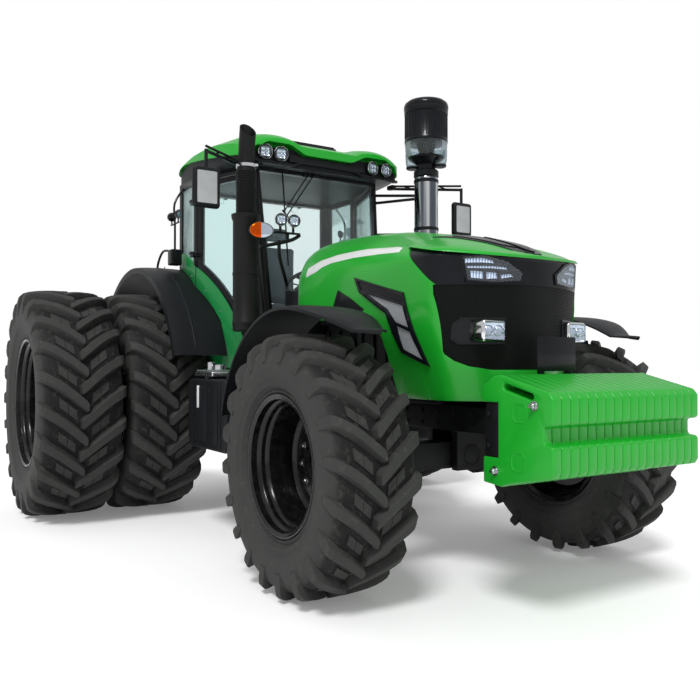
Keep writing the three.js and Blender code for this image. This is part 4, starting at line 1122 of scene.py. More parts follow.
# ---- Mudguards ----
# Moulded black plastic guards. The front pair stand on the steering knuckles and turn with the wheels,
# and their front ends sweep inward to a point. The rear pair are fixed over the inner wheels.
moulded = Finish("black_plastic", Roughness=0.42, Specular_IOR_Level=0.2)
moulded_tone = moulded.noise(4.0, 3.0)
moulded.wear(Base_Color=moulded.blend(moulded_tone, shade(14, 16, 19), shade(26, 28, 32)))
moulded.wear(Roughness=moulded_tone * 0.22 + 0.34)
moulded.relief(moulded.noise(700.0, 2.0), 0.16, 0.0008)


def guard(name, centre, radius, wall, angles, edges, lip, side, straight=9.0):
    """A crowned mudguard swept round an axle, straight on past a distance ahead, with an edge turned down."""
    rings = []
    across = 12
    for angle in angles:
        inner, outer = edges(angle)
        top, under = [], []
        for step in range(across + 1):
            share = step / across
            y = inner + (outer - inner) * share
            drop = 0.012 * abs(2 * share - 1) ** 3
            top.append((radius - drop, y))
            under.append((radius - wall - drop, y - (wall if step == across else 0)))
        top.append((radius - lip, outer + 0.0005))
        under.append((radius - lip, outer - wall))
        ring = top + list(reversed(under))
        ahead = radius * math.cos(angle)
        if ahead > straight:
            start = math.acos(straight / radius)
            past = (ahead - straight) / math.sin(start)
            rings.append([(
                centre.x + r * straight / radius + past * math.sin(start), side * y,
                centre.z + r * math.sin(start) - past * math.cos(start) * 0.15,
            ) for r, y in ring])
        else:
            rings.append(
                [(centre.x + r * math.cos(angle), side * y, centre.z + r * math.sin(angle)) for r, y in ring]
            )
    made = loft(name, rings)
    return smooth(made, 40)


# Outer edge of the front pair: distance ahead of the axle, half width.
front_outer = [
    (-0.9, 1.276), (0.1, 1.278), (0.18, 1.27), (0.25, 1.252), (0.32, 1.218), (0.4, 1.168), (0.48, 1.112),
    (0.56, 1.06), (0.64, 1.015),
]
front_inner = [(-0.9, 0.852), (0.33, 0.868), (0.49, 0.905), (0.64, 0.99)]
front_reach = 0.9
guard_low, guard_high = 0.7155, 1.1685
rib_y = 0.98
rib_top = 1.2262 - 0.012 * abs((2 * (rib_y - guard_low) / 0.453) - 1) ** 3
for label, side in sides.items():
    axle = middle_of(f"tyre_front_{label}")

    def front_edges(angle):
        ahead = front_reach * math.cos(angle)
        return along_line(front_inner, ahead), along_line(front_outer, ahead)

    steps = [math.radians(165 - 108 * i / 36) for i in range(37)]
    run_out = [math.acos((0.49 + 0.01 * i) / front_reach) for i in range(1, 15)]
    front_guard = guard(
        f"front_guard_{label}", axle, 0.903, 0.01, steps + run_out, front_edges, 0.03, side, 0.487,
    )
    fitted(front_guard, f"knuckle_{label}", "black_plastic", moulded.material, f"front_fender_{label}")

    axle = middle_of(f"tyre_rear_inner_{label}")
    steps = [math.radians(19.5 + 119.5 * i / 40) for i in range(41)]
    rear_guard = guard(
        f"rear_guard_{label}", axle, 1.2235, 0.016, steps, lambda angle: (guard_low, guard_high), 0.062, side,
    )
    ring = (
        (1.2205, rib_y - 0.012), (rib_top, rib_y - 0.004), (rib_top, rib_y + 0.004), (1.2205, rib_y + 0.012),
    )
    rib = smooth(loft("guard_rib", [
        [(axle.x + r * math.cos(angle), side * y, axle.z + r * math.sin(angle)) for r, y in ring]
        for angle in steps[1:-1]
    ]))
    rear_guard = joined(f"rear_guard_{label}", rear_guard, rib)
    fitted(rear_guard, "chassis", "black_plastic", moulded.material, f"rear_fender_{label}")

# ---- Cab frame and doors ----
# Welded steel pillars and rails in black paint, with a framed glass door on each side, a tinted quarter
# light behind it, a clear windscreen and a rear window that lifts. The doors swing on two rear hinges.
def softened(node, name, width, segments=2, degrees=30):
    """The plain node's own mesh, merged and cleaned, with its edges rounded off."""
    piece = moved(bpy.data.objects[node], name, bpy.data.objects[node].matrix_world)
    deselect()
    piece.select_set(True)
    bpy.context.view_layer.objects.active = piece
    edit(
        (bpy.ops.mesh.select_all, {"action": "SELECT"}),
        (bpy.ops.mesh.remove_doubles, {"threshold": 0.0002}),
        (bpy.ops.mesh.dissolve_limited, {"angle_limit": math.radians(1.0)}),
        (bpy.ops.mesh.normals_make_consistent, {"inside": False}),
    )
    return rounded(piece, width, segments, degrees)


def swept(name, path, section, up=(0, 0, 1)):
    """A closed section of (across, up) pairs carried along a path."""
    points = [Vector(point) for point in path]
    rings = []
    for i, point in enumerate(points):
        before = (point - points[i - 1]).normalized() if i else (points[1] - point).normalized()
        after = (points[i + 1] - point).normalized() if i + 1 < len(points) else before
        along = (before + after).normalized()
        across = along.cross(Vector(up)).normalized()
        rise = across.cross(along)
        stretch = 1 / max(0.5, along.dot(before))
        rings.append([tuple(point + across * a * stretch + rise * b * stretch) for a, b in section])
    return loft(name, rings)


def round_section(radius, points=14):
    return [
        (radius * math.cos(2 * math.pi * i / points), radius * math.sin(2 * math.pi * i / points))
        for i in range(points)
    ]


def bar_section(width, height, corner=0.25):
    """A rectangle with rounded corners."""
    r = corner * min(width, height)
    made = []
    for cx, cy, start in ((1, 1, 0), (-1, 1, 90), (-1, -1, 180), (1, -1, 270)):
        for turn in (0, 45, 90):
            angle = math.radians(start + turn)
            made.append(
                (cx * (width / 2 - r) + r * math.cos(angle), cy * (height / 2 - r) + r * math.sin(angle))
            )
    return made


def bent(points, each=4):
    return spline(points, each)


cab_black = Finish("cab_black", Roughness=0.3, Coat_Weight=0.12, Specular_IOR_Level=0.15)
cab_tone = cab_black.noise(3.0, 3.0)
cab_black.wear(Base_Color=cab_black.blend(cab_tone, shade(11, 12, 14), shade(19, 21, 24)))
cab_black.wear(Roughness=cab_tone * 0.2 + 0.24)
cab_black.relief(cab_black.noise(600.0, 1.0), 0.06, 0.0005)

axle_x = nose_x


def front_line(z):
    return axle_x - 1.81 + 0.122 * (2.955 - z)


cab_pieces = []
for label, side in sides.items():
    foot, head = front_line(1.255) - 0.031, front_line(2.95) - 0.031
    pillar_front = swept(
        "pillar", [(foot, side * 0.515, 1.255), (head, side * 0.585, 2.95)], bar_section(0.04, 0.062, 0.3),
        (1, 0, 0),
    )
    pillar_middle = swept(
        "pillar", [(axle_x - 2.52, side * 0.812, 1.255), (axle_x - 2.52, side * 0.812, 2.95)],
        bar_section(0.03, 0.07, 0.3), (1, 0, 0),
    )
    pillar_rear = swept(
        "pillar", [(axle_x - 2.949, side * 0.786, 1.255), (axle_x - 2.949, side * 0.786, 2.95)],
        bar_section(0.032, 0.062, 0.3), (1, 0, 0),
    )
    rail = swept(
        "rail",
        [
            (head, side * 0.585, 2.918), (axle_x - 2.52, side * 0.812, 2.918),
            (axle_x - 2.949, side * 0.786, 2.918),
        ],
        bar_section(0.03, 0.072, 0.25),
    )
    sill = swept(
        "sill", [(foot + 0.01, side * 0.508, 1.264), (axle_x - 2.3, side * 0.742, 1.264)],
        bar_section(0.032, 0.028, 0.25),
    )
    cab_pieces += [pillar_front, pillar_middle, pillar_rear, rail, sill]
for x, half, z, tall in (
    (head, 0.585, 2.918, 0.072), (axle_x - 2.949, 0.786, 2.918, 0.072), (axle_x - 2.949, 0.786, 1.868, 0.03),
):
    cab_pieces.append(swept("rail", [(x, -half, z), (x, half, z)], bar_section(0.032, tall, 0.25)))
cab_pieces.append(softened("cab_frame", "hinges", 0.002, 1))
cab_frame_piece = joined("cab_frame_tubes", *cab_pieces)
fitted(smooth(cab_frame_piece), "chassis", "cab_paint", cab_black.material, "cab_frame")

tinted = clear_finish("tinted_glass", (0.86, 0.955, 0.95, 1), 0.02)
clear = clear_finish("clear_glass", (0.93, 0.97, 0.97, 1), 0.015)


def cab_side(x):
    """Half width of the cab's side, which widens to the rear from the front pillar."""
    return 0.511 + (axle_x - 1.6 - x) * 0.3467


latch_x, latch_z = axle_x - 1.8, 1.8
for label, side in sides.items():
    door = softened(f"door_{label}", "door_shell", 0.006, 3)
    latch_y = side * (cab_side(latch_x) + 0.012)
    latch = prism_block(
        "latch", (latch_x - 0.035, latch_y - 0.012, latch_z - 0.045),
        (latch_x + 0.035, latch_y + 0.012, latch_z + 0.045), 0.006, 2,
    )
    loop = [
        (latch_x - 0.02, latch_y + side * out, latch_z + up)
        for out, up in ((0, 0.03), (0.035, 0.02), (0.035, -0.07), (0, -0.09))
    ]
    grip = swept("grip", bent(loop, 4), round_section(0.008, 10), (1, 0, 0))
    door = joined(f"door_frame_{label}", door, latch, grip)
    fitted(smooth(door), f"door_{label}", "cab_paint", cab_black.material, f"door_{label}")
    glass = softened(f"door_glass_{label}", f"door_pane_{label}", 0.002, 1)
    fitted(glass, f"door_{label}", "cab_glass", tinted.material, f"door_glass_{label}")
    glass = softened(f"quarter_glass_{label}", f"quarter_pane_{label}", 0.002, 1)
    fitted(glass, "chassis", "cab_glass", tinted.material, f"quarter_glass_{label}")
fitted(
    softened("windscreen", "windscreen_pane", 0.002, 1), "chassis", "cab_glass", clear.material, "windscreen",
)
fitted(
    softened("rear_window", "rear_window_pane", 0.002, 1), "rear_window", "cab_glass", clear.material,
    "rear_window",
)

# Wiper: a twin arm that hangs from the header and a rubber blade across the screen.
def on_screen(y, z, off=0.02):
    return (front_line(z) + 0.028 + off, y, z)


wiper = [
    swept("arm", [on_screen(-0.06, 2.9), on_screen(-0.34, 2.52)], bar_section(0.012, 0.008, 0.3)),
    swept("arm", [on_screen(-0.11, 2.9), on_screen(-0.365, 2.55)], bar_section(0.012, 0.008, 0.3)),
    swept("yoke", [on_screen(-0.33, 2.5), on_screen(-0.38, 2.56)], bar_section(0.022, 0.012, 0.3)),
    swept(
        "blade", [on_screen(-0.355, 2.88, 0.008), on_screen(-0.35, 2.1, 0.008)],
        bar_section(0.01, 0.014, 0.3), (1, 0, 0),
    ),
    prism_block(
        "motor", (front_line(2.9) - 0.02, -0.15, 2.875), (front_line(2.9) + 0.04, -0.03, 2.925), 0.008, 2,
    ),
]
fitted(smooth(joined("wiper", *wiper)), "chassis", "black_plastic", cab_black.material)

# ---- Cab roof ----
# A moulded roof in green over a black underside, raised over the lamp pods at its front corners, with
# a black hatch in the middle. The work lamps are set in the black recess under its front edge.
roof_plan = [
    (-3.05, 0.7), (-3.03, 0.77), (-2.96, 0.812), (-2.7, 0.838), (-2.3, 0.842), (-2.0, 0.82), (-1.78, 0.775),
    (-1.67, 0.735), (-1.615, 0.68), (-1.6, 0.62),
]
roof_top = [
    (-3.05, 3.12), (-2.9, 3.165), (-2.5, 3.19), (-2.1, 3.182), (-1.8, 3.142), (-1.66, 3.1), (-1.6, 3.068),
]
roof_edge = [(-3.05, 3.09), (-2.95, 3.105), (-2.59, 3.075), (-2.06, 3.005), (-1.7, 2.96), (-1.6, 2.985)]
roof_steps = 48


def roof_surface(x, y, half):
    share = abs(y) / half
    top = along_line(roof_top, x)
    pod = max(0.0, 1 - ((abs(y) - 0.52) / 0.24) ** 2) * max(0.0, min(1.0, (x + 2.1) / 0.4))
    return top + 0.052 * pod ** 0.6 - 0.075 * share ** 6


def roof_under(x, y, half):
    side_edge = along_line(roof_edge, x)
    lip = 3.004 + 0.068 * min(1.0, max(0.0, (abs(y) - 0.225) / 0.135))
    corner = max(0.0, (abs(y) - 0.63) / 0.07)
    lip -= min(1.0, corner) * (lip - side_edge)
    front = max(0.0, min(1.0, (x + 1.72) / 0.03))
    return side_edge + (lip - side_edge) * front


def roof_piece(name, upper, lower, plan_scale, plan):
    rings = []
    for x, half in plan:
        half *= plan_scale
        ys = [half * math.sin(math.pi / 2 * (2 * i / roof_steps - 1)) for i in range(roof_steps + 1)]
        top = [(axle_x + x, y, upper(x, y, half)) for y in ys]
        low = [(axle_x + x, y, lower(x, y, half)) for y in reversed(ys)]
        rings.append(top + low)
    return loft(name, rings)


stations = spline(roof_plan, 4)
stations = sorted(stations + [(x, along_line(roof_plan, x)) for x in (-1.722, -1.705, -1.688)])
roof_green = roof_piece(
    "roof_top", roof_surface, lambda x, y,
    half: min(roof_surface(x, y, half) - 0.006, roof_under(x, y, half)), 1.0, stations,
)
fitted(smooth(roof_green, 50), "chassis", "green_paint", paint.material, "cab_roof")
black_plan = [(x, half) for x, half in stations if x < -1.65]
roof_black = roof_piece(
    "roof_under", lambda x, y,
    half: min(
        roof_surface(x, y, half) - 0.02,
        roof_under(min(x, -1.73), y, half) + 0.02 + (0.06 if abs(y) < 0.6 else 0),
    ),
    lambda x, y, half: 2.9 + 0.03 * (abs(y) / half) ** 8, 0.972, black_plan,
)
lip_rail = swept("lip", bent([
    (
        axle_x - 1.72, -0.745, 2.925,
    ), (axle_x - 1.64, -0.66, 2.912), (axle_x - 1.632, -0.34, 2.912), (axle_x - 1.645, -0.24, 2.94),
    (axle_x - 1.645, 0.24, 2.94), (
        axle_x - 1.632, 0.34, 2.912,
    ), (axle_x - 1.64, 0.66, 2.912), (axle_x - 1.72, 0.745, 2.925),
], 3), bar_section(0.05, 0.016, 0.4))
visor = swept(
    "visor", [(axle_x - 1.64, -0.36, 2.968), (axle_x - 1.64, 0.36, 2.968)], bar_section(0.03, 0.062, 0.4),
)
hatch = rounded(
    slab(
        "hatch", "z",
        [(axle_x - 2.48, -0.25), (axle_x - 1.9, -0.25), (axle_x - 1.9, 0.25), (axle_x - 2.48, 0.25)], 3.15,
        3.196,
    ),
    0.014, 3,
)
hatch_top = rounded(
    slab(
        "hatch", "z",
        [(axle_x - 2.46, -0.235), (axle_x - 1.915, -0.235), (axle_x - 1.915, 0.235), (axle_x - 2.46, 0.235)],
        3.19, 3.21,
    ),
    0.008, 3,
)
roof_black = joined("roof_under", roof_black, lip_rail, visor, hatch, hatch_top)
fitted(smooth(roof_black, 45), "chassis", "black_plastic", moulded.material)


def round_lamp(name, radius, body, place):
    """A round work lamp: a finned black housing, a faceted chrome bowl and a clear lens."""
    r = radius
    shell = forward(turned("shell", [
        (0, -r * 0.7), (
            r * 0.45, -r * 0.68,
        ), (r * 0.75, -r * 0.4), (r * 0.96, -r * 0.05), (r, 0), (r, r * 0.16),
        (r * 0.93, r * 0.2), (r * 0.86, r * 0.18), (r * 0.84, r * 0.02), (r * 0.4, -r * 0.12), (0, -r * 0.14),
    ], 32))
    bowls = []
    for turn in range(4):
        across, up = r * 0.36 * math.cos(
            math.pi / 4 + turn * math.pi / 2
        ), r * 0.36 * math.sin(math.pi / 4 + turn * math.pi / 2)
        bowl = forward(
            turned(
                "bowl",
                [
                    (0, 0), (r * 0.1, 0), (r * 0.25, r * 0.04), (r * 0.36, r * 0.13), (r * 0.38, r * 0.12),
                    (r * 0.3, -r * 0.02), (0, -r * 0.05),
                ],
                16,
            )
        )
        bowl.data.transform(Matrix.Translation((0, across, up)))
        bowls.append(bowl)
    ring = forward(
        turned(
            "ring",
            [
                (r * 0.84, r * 0.1), (r * 0.92, r * 0.19), (r * 0.95, r * 0.22), (r * 1.0, r * 0.18),
                (r * 0.95, r * 0.1),
            ],
            32, True,
        )
    )
    bowls = joined("bowls", *bowls, ring)
    pane = forward(
        turned(
            "pane",
            [(0, r * 0.17), (r * 0.5, r * 0.165), (r * 0.85, r * 0.15), (r * 0.85, r * 0.13), (0, r * 0.14)],
            24,
        )
    )
    for made, part, slot, finish in (
        (shell, "housing", "gloss_black", satin_black), (bowls, "reflector", "bright_pipe", chrome),
        (pane, "lens", "cab_glass", lens),
    ):
        made.data.transform(place)
        made.name = f"{name}_{part}"
        fitted(smooth(made), body, slot, finish.material)


for label, side in sides.items():
    for number, y in enumerate((0.58, 0.44)):
        place = facing(axle_x - 1.622, side * y, 2.99, side * 0.18, 0.1)
        round_lamp(f"roof_lamp_{label}_{number + 1}", 0.06, "chassis", place)

# ---- Fender cheeks and cab floor ----
# Green pressed cheeks between the door and the rear guard, bolted round their edge, and the black cab
# floor with the cowl that carries the dash.
# Painted shade: the cheeks take a darker, bluer copy of the green paint, for the shade they stand in under
# the cab.
shaded_cheek_paint = Finish("shaded_cheek_paint", Roughness=0.35, Coat_Weight=0.2, Specular_IOR_Level=0.3)
cheek_tone = shaded_cheek_paint.noise(1.6, 2.0)
shaded_cheek_paint.wear(Base_Color=shaded_cheek_paint.blend(cheek_tone, shade(18, 118, 60), shade(24, 138, 66)))
shaded_cheek_paint.wear(Roughness=shaded_cheek_paint.noise(22.0, 3.0) * 0.14 + 0.28)
for label, side in sides.items():
    cheek = softened(f"inner_fender_{label}", "cheek", 0.004, 2)
    axle = middle_of(f"tyre_rear_inner_{label}")
    screws = []
    for i in range(9):
        angle = math.radians(38 + 11.5 * i)
        if math.cos(angle) * 1.28 + axle.x > -0.36:
            continue
        x, z = axle.x + 1.262 * math.cos(angle), axle.z + 1.262 * math.sin(angle)
        head = turned("head", [(0, 0), (0.009, 0), (0.009, 0.005), (0.005, 0.008), (0, 0.008)], 10)
        face = cab_side(x) if x > axle_x - 2.52 else 0.825
        if side < 0:
            head.data.transform(Matrix.Rotation(math.pi, 4, "Z"))
        head.data.transform(Matrix.Translation((x, side * (face + 0.001), z)))
        screws.append(head)
    cheek = joined(f"cheek_{label}", cheek)
    fitted(cheek, "chassis", "green_paint", shaded_cheek_paint.material, f"inner_fender_{label}")
    if screws:
        screws = joined(f"cheek_screws_{label}", *screws)
        fitted(smooth(screws), "chassis", "machined_steel", bright_steel.material)
floor_pan = softened("cab_floor", "floor_pan", 0.012, 3)
fitted(floor_pan, "chassis", "black_plastic", moulded.material, "cab_floor")

# ---- Seat and controls ----
# A sprung seat with padded cloth cushions, a steering wheel on its column, a lever console on the right
# and a hanging display. The cushions are foam under a stitched cloth cover.
cloth = Finish("seat_cloth", Roughness=0.95)
weft = cloth.node(
    "ShaderNodeTexWave", {"bands_direction": "Y"},
    {"Vector": cloth.coords(), "Scale": 120.0, "Distortion": 0.6},
)
warp = cloth.node(
    "ShaderNodeTexWave", {"bands_direction": "Z"},
    {"Vector": cloth.coords(), "Scale": 120.0, "Distortion": 0.6},
)
weave_up = weft * warp
cloth.wear(
    Base_Color=cloth.blend(
        cloth.noise(7.0, 3.0) * 0.6 + weave_up * 0.4, shade(86, 98, 106), shade(124, 138, 146),
    )
)
cloth.relief(weave_up, 0.35, 0.0012)


def cushion(name, low, high, corner, slot_node):
    """A cushion swollen by its foam: a closed cover under a little pressure, its rise held to a cap."""
    made = prism_block(name, low, high, corner, 4)
    applied(made, "REMESH", mode="VOXEL", voxel_size=0.009)
    start = [vertex.co.copy() for vertex in made.data.vertices]
    filling = made.modifiers.new("filling", "CLOTH")
    filling.settings.use_pressure = True
    filling.settings.uniform_pressure_force = 4.0
    filling.settings.effector_weights.gravity = 0.0
    filling.point_cache.frame_start = 1
    filling.point_cache.frame_end = 20
    for step in range(1, 21):
        scene.frame_set(step)
    deselect()
    made.select_set(True)
    bpy.context.view_layer.objects.active = made
    bpy.ops.object.modifier_apply(modifier="filling")
    scene.frame_set(1)
    for vertex, before in zip(made.data.vertices, start):
        push = vertex.co - before
        if push.length > 0.022:
            vertex.co = before + push * (0.022 / push.length)
    applied(made, "SUBSURF", levels=1, render_levels=1)
    fitted(smooth(made, 60), "chassis", "seat_cloth", cloth.material, slot_node)
    return made


cushion("cushion_seat", (-1.075, -0.245, 1.712), (-0.62, 0.245, 1.818), 0.035, "seat_cushion")
cushion("cushion_back", (-1.168, -0.225, 1.85), (-1.078, 0.225, 2.415), 0.035, "seat_back")
head_rest = prism_block("head_rest", (-1.16, -0.13, 2.455), (-1.095, 0.13, 2.58), 0.028, 4)
rest_posts = [
    swept("post", [(-1.125, y, 2.38), (-1.125, y, 2.48)], round_section(0.008, 10), (1, 0, 0))
    for y in (-0.07, 0.07)
]
fitted(smooth(joined("seat_head_rest", head_rest, *rest_posts)), "chassis", "seat_cloth", cloth.material)
seat_stand = softened("seat_base", "seat_stand", 0.01, 3)
bellows = [
    rounded(
        slab(
            "bellow", "z",
            [
                (-1.035 - g, -0.178 - g), (-0.7 + g, -0.178 - g), (-0.7 + g, 0.178 + g),
                (-1.035 - g, 0.178 + g),
            ],
            z, z + 0.03,
        ),
        0.008, 2,
    )
    for z, g in ((1.42, 0.0), (1.47, 0.006), (1.52, 0.006), (1.57, 0.0))
]
arm_rests = [
    swept(
        "arm", bent([(-1.13, y, 2.0), (-1.02, y, 2.02), (-0.8, y, 2.015), (-0.74, y, 1.995)], 4),
        bar_section(0.065, 0.045, 0.45),
    )
    for y in (-0.295, 0.295)
]
seat_plate = rounded(
    slab("plate", "z", [(-1.08, -0.24), (-0.62, -0.24), (-0.62, 0.24), (-1.08, 0.24)], 1.69, 1.706), 0.006, 2,
)
fitted(
    smooth(joined("seat_stand", seat_stand, *bellows, *arm_rests, seat_plate)), "chassis", "black_plastic",
    moulded.material, "seat_base",
)

wheel_axis = Vector((-0.47, 0, 0.8827))
wheel_at = Vector((-0.438, 0, 2.005))
tilt = Vector((0, 1, 0)).rotation_difference(wheel_axis).to_matrix().to_4x4()
rim = turned(
    "rim",
    [
        (0.195 + 0.016 * math.cos(2 * math.pi * i / 14), 0.016 * math.sin(2 * math.pi * i / 14))
        for i in range(14)
    ],
    48, True,
)
boss = turned(
    "boss", [(0, -0.04), (0.035, -0.04), (0.045, -0.01), (0.052, 0.012), (0.045, 0.028), (0, 0.032)], 24,
)
spokes = [
    swept(
        "spoke",
        [(0.03 * math.cos(a), 0.0, 0.03 * math.sin(a)), (0.19 * math.cos(a), 0.0, 0.19 * math.sin(a))],
        bar_section(0.012, 0.034, 0.4), (0, 1, 0),
    ) for a in (math.pi / 2, math.pi * 7 / 6, math.pi * 11 / 6)
]
helm = joined("helm", rim, boss, *spokes)
helm.data.transform(Matrix.Translation(wheel_at) @ tilt)
fitted(smooth(helm, 50), "chassis", "black_plastic", moulded.material, "steering_wheel")
column = softened("steering_column", "column", 0.01, 3)
cluster = prism_block("cluster", (-0.4, -0.16, 1.86), (-0.3, 0.16, 1.95), 0.02, 3)
stalks = [
    swept("stalk", [(-0.4, 0, 1.955), (-0.4, s * 0.17, 1.985)], round_section(0.006, 8)) for s in (-1, 1)
]
fitted(
    smooth(joined("column_cover", column, cluster, *stalks)), "chassis", "black_plastic", moulded.material,
    "steering_column",
)

console = [prism_block("console", (-1.1, -0.56, 1.255), (-0.55, -0.36, 1.9), 0.03, 3)]
for x, lean, tall in ((-0.95, -0.02, 0.26), (-0.86, 0.0, 0.24), (-0.77, 0.02, 0.22), (-0.66, 0.05, 0.18)):
    console.append(
        swept("lever", [(x, -0.46, 1.88), (x + lean, -0.46, 1.88 + tall)], round_section(0.007, 8), (0, 1, 0))
    )
    console.append(
        prism_block(
            "knob", (x + lean - 0.016, -0.476, 1.87 + tall), (x + lean + 0.016, -0.444, 1.93 + tall), 0.012,
            3,
        )
    )
display = prism_block("display", (-0.52, -0.66, 2.02), (-0.49, -0.44, 2.18), 0.01, 2)
display_arm = swept(
    "arm", bent([(-0.6, -0.5, 1.86), (-0.54, -0.54, 1.98), (-0.51, -0.55, 2.06)], 4),
    round_section(0.012, 10), (0, 1, 0),
)
fitted(
    smooth(joined("lever_console", *console, display, display_arm)), "chassis", "black_plastic",
    moulded.material,
)

# ---- Exhaust stack ----
# A perforated heat sleeve round the lower pipe, a ribbed pipe above it, a bright clamp and a plain tip cut
# on the slant. It stands at the right front corner of the cab on a bent pipe from under the hood.
def upright(piece, x, y):
    """A turned piece that lies along Y stood on end at a place."""
    piece.data.transform(Matrix.Translation((x, y, 0)) @ Matrix.Rotation(math.pi / 2, 4, "X"))
    return piece


soot_black = Finish("stack_black", Roughness=0.5, Specular_IOR_Level=0.2)
soot = soot_black.noise(5.0, 4.0, (1, 1, 0.3))
soot_black.wear(Base_Color=soot_black.blend(soot, shade(11, 12, 13), shade(28, 28, 29)))
soot_black.wear(Roughness=soot * 0.3 + 0.36)
soot_black.relief(soot_black.noise(300.0, 2.0), 0.15, 0.0008)
stack_x, stack_y = axle_x - 1.5, -0.8
sleeve_profile = [
    (0, 1.552), (0.09, 1.552), (0.1, 1.562), (0.1, 1.6), (0.103, 1.605), (0.103, 1.625), (0.1, 1.63),
]
sleeve_profile += [
    (0.1, 2.395), (0.108, 2.405), (0.112, 2.43), (0.112, 2.442), (0.102, 2.444), (0.098, 2.42), (0.078, 2.41),
]
for up in range(26):
    z = 2.45 + up * 0.0125
    sleeve_profile += [(0.0735, z), (0.078, z + 0.003), (0.078, z + 0.007), (0.0735, z + 0.01)]
sleeve_profile += [(0.072, 2.79), (0.064, 2.83), (0, 2.83)]
sleeve = upright(turned("sleeve", sleeve_profile, 40), stack_x, stack_y)
tip_rings = []
tip_turns = [2 * math.pi * i / 32 for i in range(32)]
for share, radius in ((0.0, 0.062), (0.3, 0.062), (0.6, 0.062), (1.0, 0.062), (1.0, 0.056), (0.2, 0.056)):
    tip_rings.append([
        (stack_x + radius * math.cos(a) + 0.03 * share ** 2, stack_y + radius * math.sin(a),
         2.8 + share * (0.225 + 0.12 * (1 - math.cos(a)) / 2))
        for a in tip_turns
    ])
tip = loft("tip", tip_rings)
feed = swept(
    "feed", bent([(stack_x, -0.8, 1.64), (stack_x, -0.62, 1.64), (stack_x, -0.402, 1.63)], 3),
    round_section(0.046, 20),
)
fitted(
    smooth(joined("exhaust", sleeve, tip, feed), 40), "chassis", "stack_black", soot_black.material,
    "exhaust_stack",
)
clamp = upright(
    turned(
        "clamp",
        [(0.0735, 2.8), (0.0775, 2.802), (0.0775, 2.826), (0.0735, 2.828), (0.06, 2.828), (0.06, 2.8)], 40,
        True,
    ),
    stack_x, stack_y,
)
clamp_lug = prism_block(
    "lug", (stack_x + 0.06, stack_y + 0.035, 2.804), (stack_x + 0.085, stack_y + 0.062, 2.824), 0.003, 2,
)
sleeve_band = upright(
    turned("band", [(0.1005, 1.98), (0.1035, 1.982), (0.1035, 1.998), (0.1005, 2.0)], 40, True), stack_x,
    stack_y,
)
fitted(smooth(joined("exhaust_clamp", clamp, clamp_lug)), "chassis", "bright_pipe", chrome.material)
fitted(smooth(sleeve_band), "chassis", "stack_black", soot_black.material)

# ---- Air precleaner ----
# A chrome intake pipe at the left front corner of the cab with a black band and collar, and on it a large
# spinning precleaner with a smoked upper bowl over two clear dust cups. Three rails brace it to the cab.
clean_x, clean_y = axle_x - 1.33, 0.8
pipe = upright(
    turned(
        "pipe",
        [(0, 1.552), (0.096, 1.552), (0.101, 1.56), (0.101, 2.88), (0.097, 2.89), (0.088, 2.893), (0, 2.893)],
        48,
    ),
    clean_x, clean_y,
)
intake = swept(
    "intake", [(clean_x - 0.04, 0.8, 1.63), (clean_x - 0.04, 0.402, 1.63)], round_section(0.032, 18),
)
tube_chrome = Finish("tube_chrome", Metallic=1.0, Roughness=0.12)
# Painted reflection: long dark bluish streaks down the pipe stand for surroundings mirrored in the chrome.
painted_reflection_streaks = tube_chrome.steps(tube_chrome.noise(16.0, 1.0, (1, 1, 0.02)), 0.4, 0.62)
tube_chrome.wear(Base_Color=tube_chrome.blend(painted_reflection_streaks, shade(96, 102, 112), shade(240, 241, 244)))
tube_chrome.wear(Roughness=tube_chrome.noise(11.0, 3.0) * 0.12 + 0.06)
fitted(
    smooth(joined("intake_pipe", pipe, intake)), "chassis", "bright_pipe", tube_chrome.material,
    "air_precleaner",
)
bands = [
    upright(
        turned("band", [(0.1012, z), (0.106, z + 0.003), (0.106, z + 0.026), (0.1012, z + 0.029)], 48, True),
        clean_x, clean_y,
    ) for z in (2.435, 2.845)
]
collar = upright(turned("collar", [
    (0, 2.893), (0.1, 2.893), (0.106, 2.9), (
        0.106, 2.945,
    ), (0.098, 2.955), (0.08, 2.962), (0.078, 3.0), (0.1, 3.02),
    (0.15, 3.052), (0.152, 3.066), (0.12, 3.075), (0, 3.078),
], 48), clean_x, clean_y)
bowl_profile = [(0, 3.185), (0.17, 3.185), (0.185, 3.192), (0.185, 3.212), (0.181, 3.218)]
bowl_profile += [
    (0.181, 3.43), (0.187, 3.436), (0.187, 3.47), (0.19, 3.476), (0.19, 3.5), (0.182, 3.522), (0.16, 3.54),
    (0.11, 3.548), (0, 3.55),
]
bowl = upright(turned("bowl", bowl_profile, 64), clean_x, clean_y)
fins = []
for i in range(48):
    a = 2 * math.pi * i / 48
    fin_x, fin_y = clean_x + 0.1815 * math.cos(a), clean_y + 0.1815 * math.sin(a)
    fins.append(
        swept(
            "fin", [(fin_x, fin_y, 3.222), (fin_x, fin_y, 3.428)], bar_section(0.005, 0.005, 0.3),
            (math.cos(a), math.sin(a), 0),
        )
    )
braces = []
for z in (2.745, 2.425):
    foot = (front_line(z) - 0.02, 0.555, z + 0.02)
    for lift in ((-0.022, 0.022) if z > 2.6 else (0.0,)):
        braces.append(
            swept(
                "brace",
                [(foot[0], foot[1], foot[2] + lift * 1.6), (clean_x - 0.1, clean_y - 0.02, z + lift * 0.6)],
                bar_section(0.02, 0.024, 0.35),
            )
        )
    braces.append(
        prism_block(
            "brace_end", (clean_x - 0.115, clean_y - 0.035, z - 0.03),
            (clean_x - 0.088, clean_y + 0.035, z + 0.03), 0.004, 2,
        )
    )
core = upright(
    turned("core", [(0, 3.07), (0.06, 3.07), (0.065, 3.12), (0.09, 3.19), (0, 3.19)], 24), clean_x, clean_y,
)
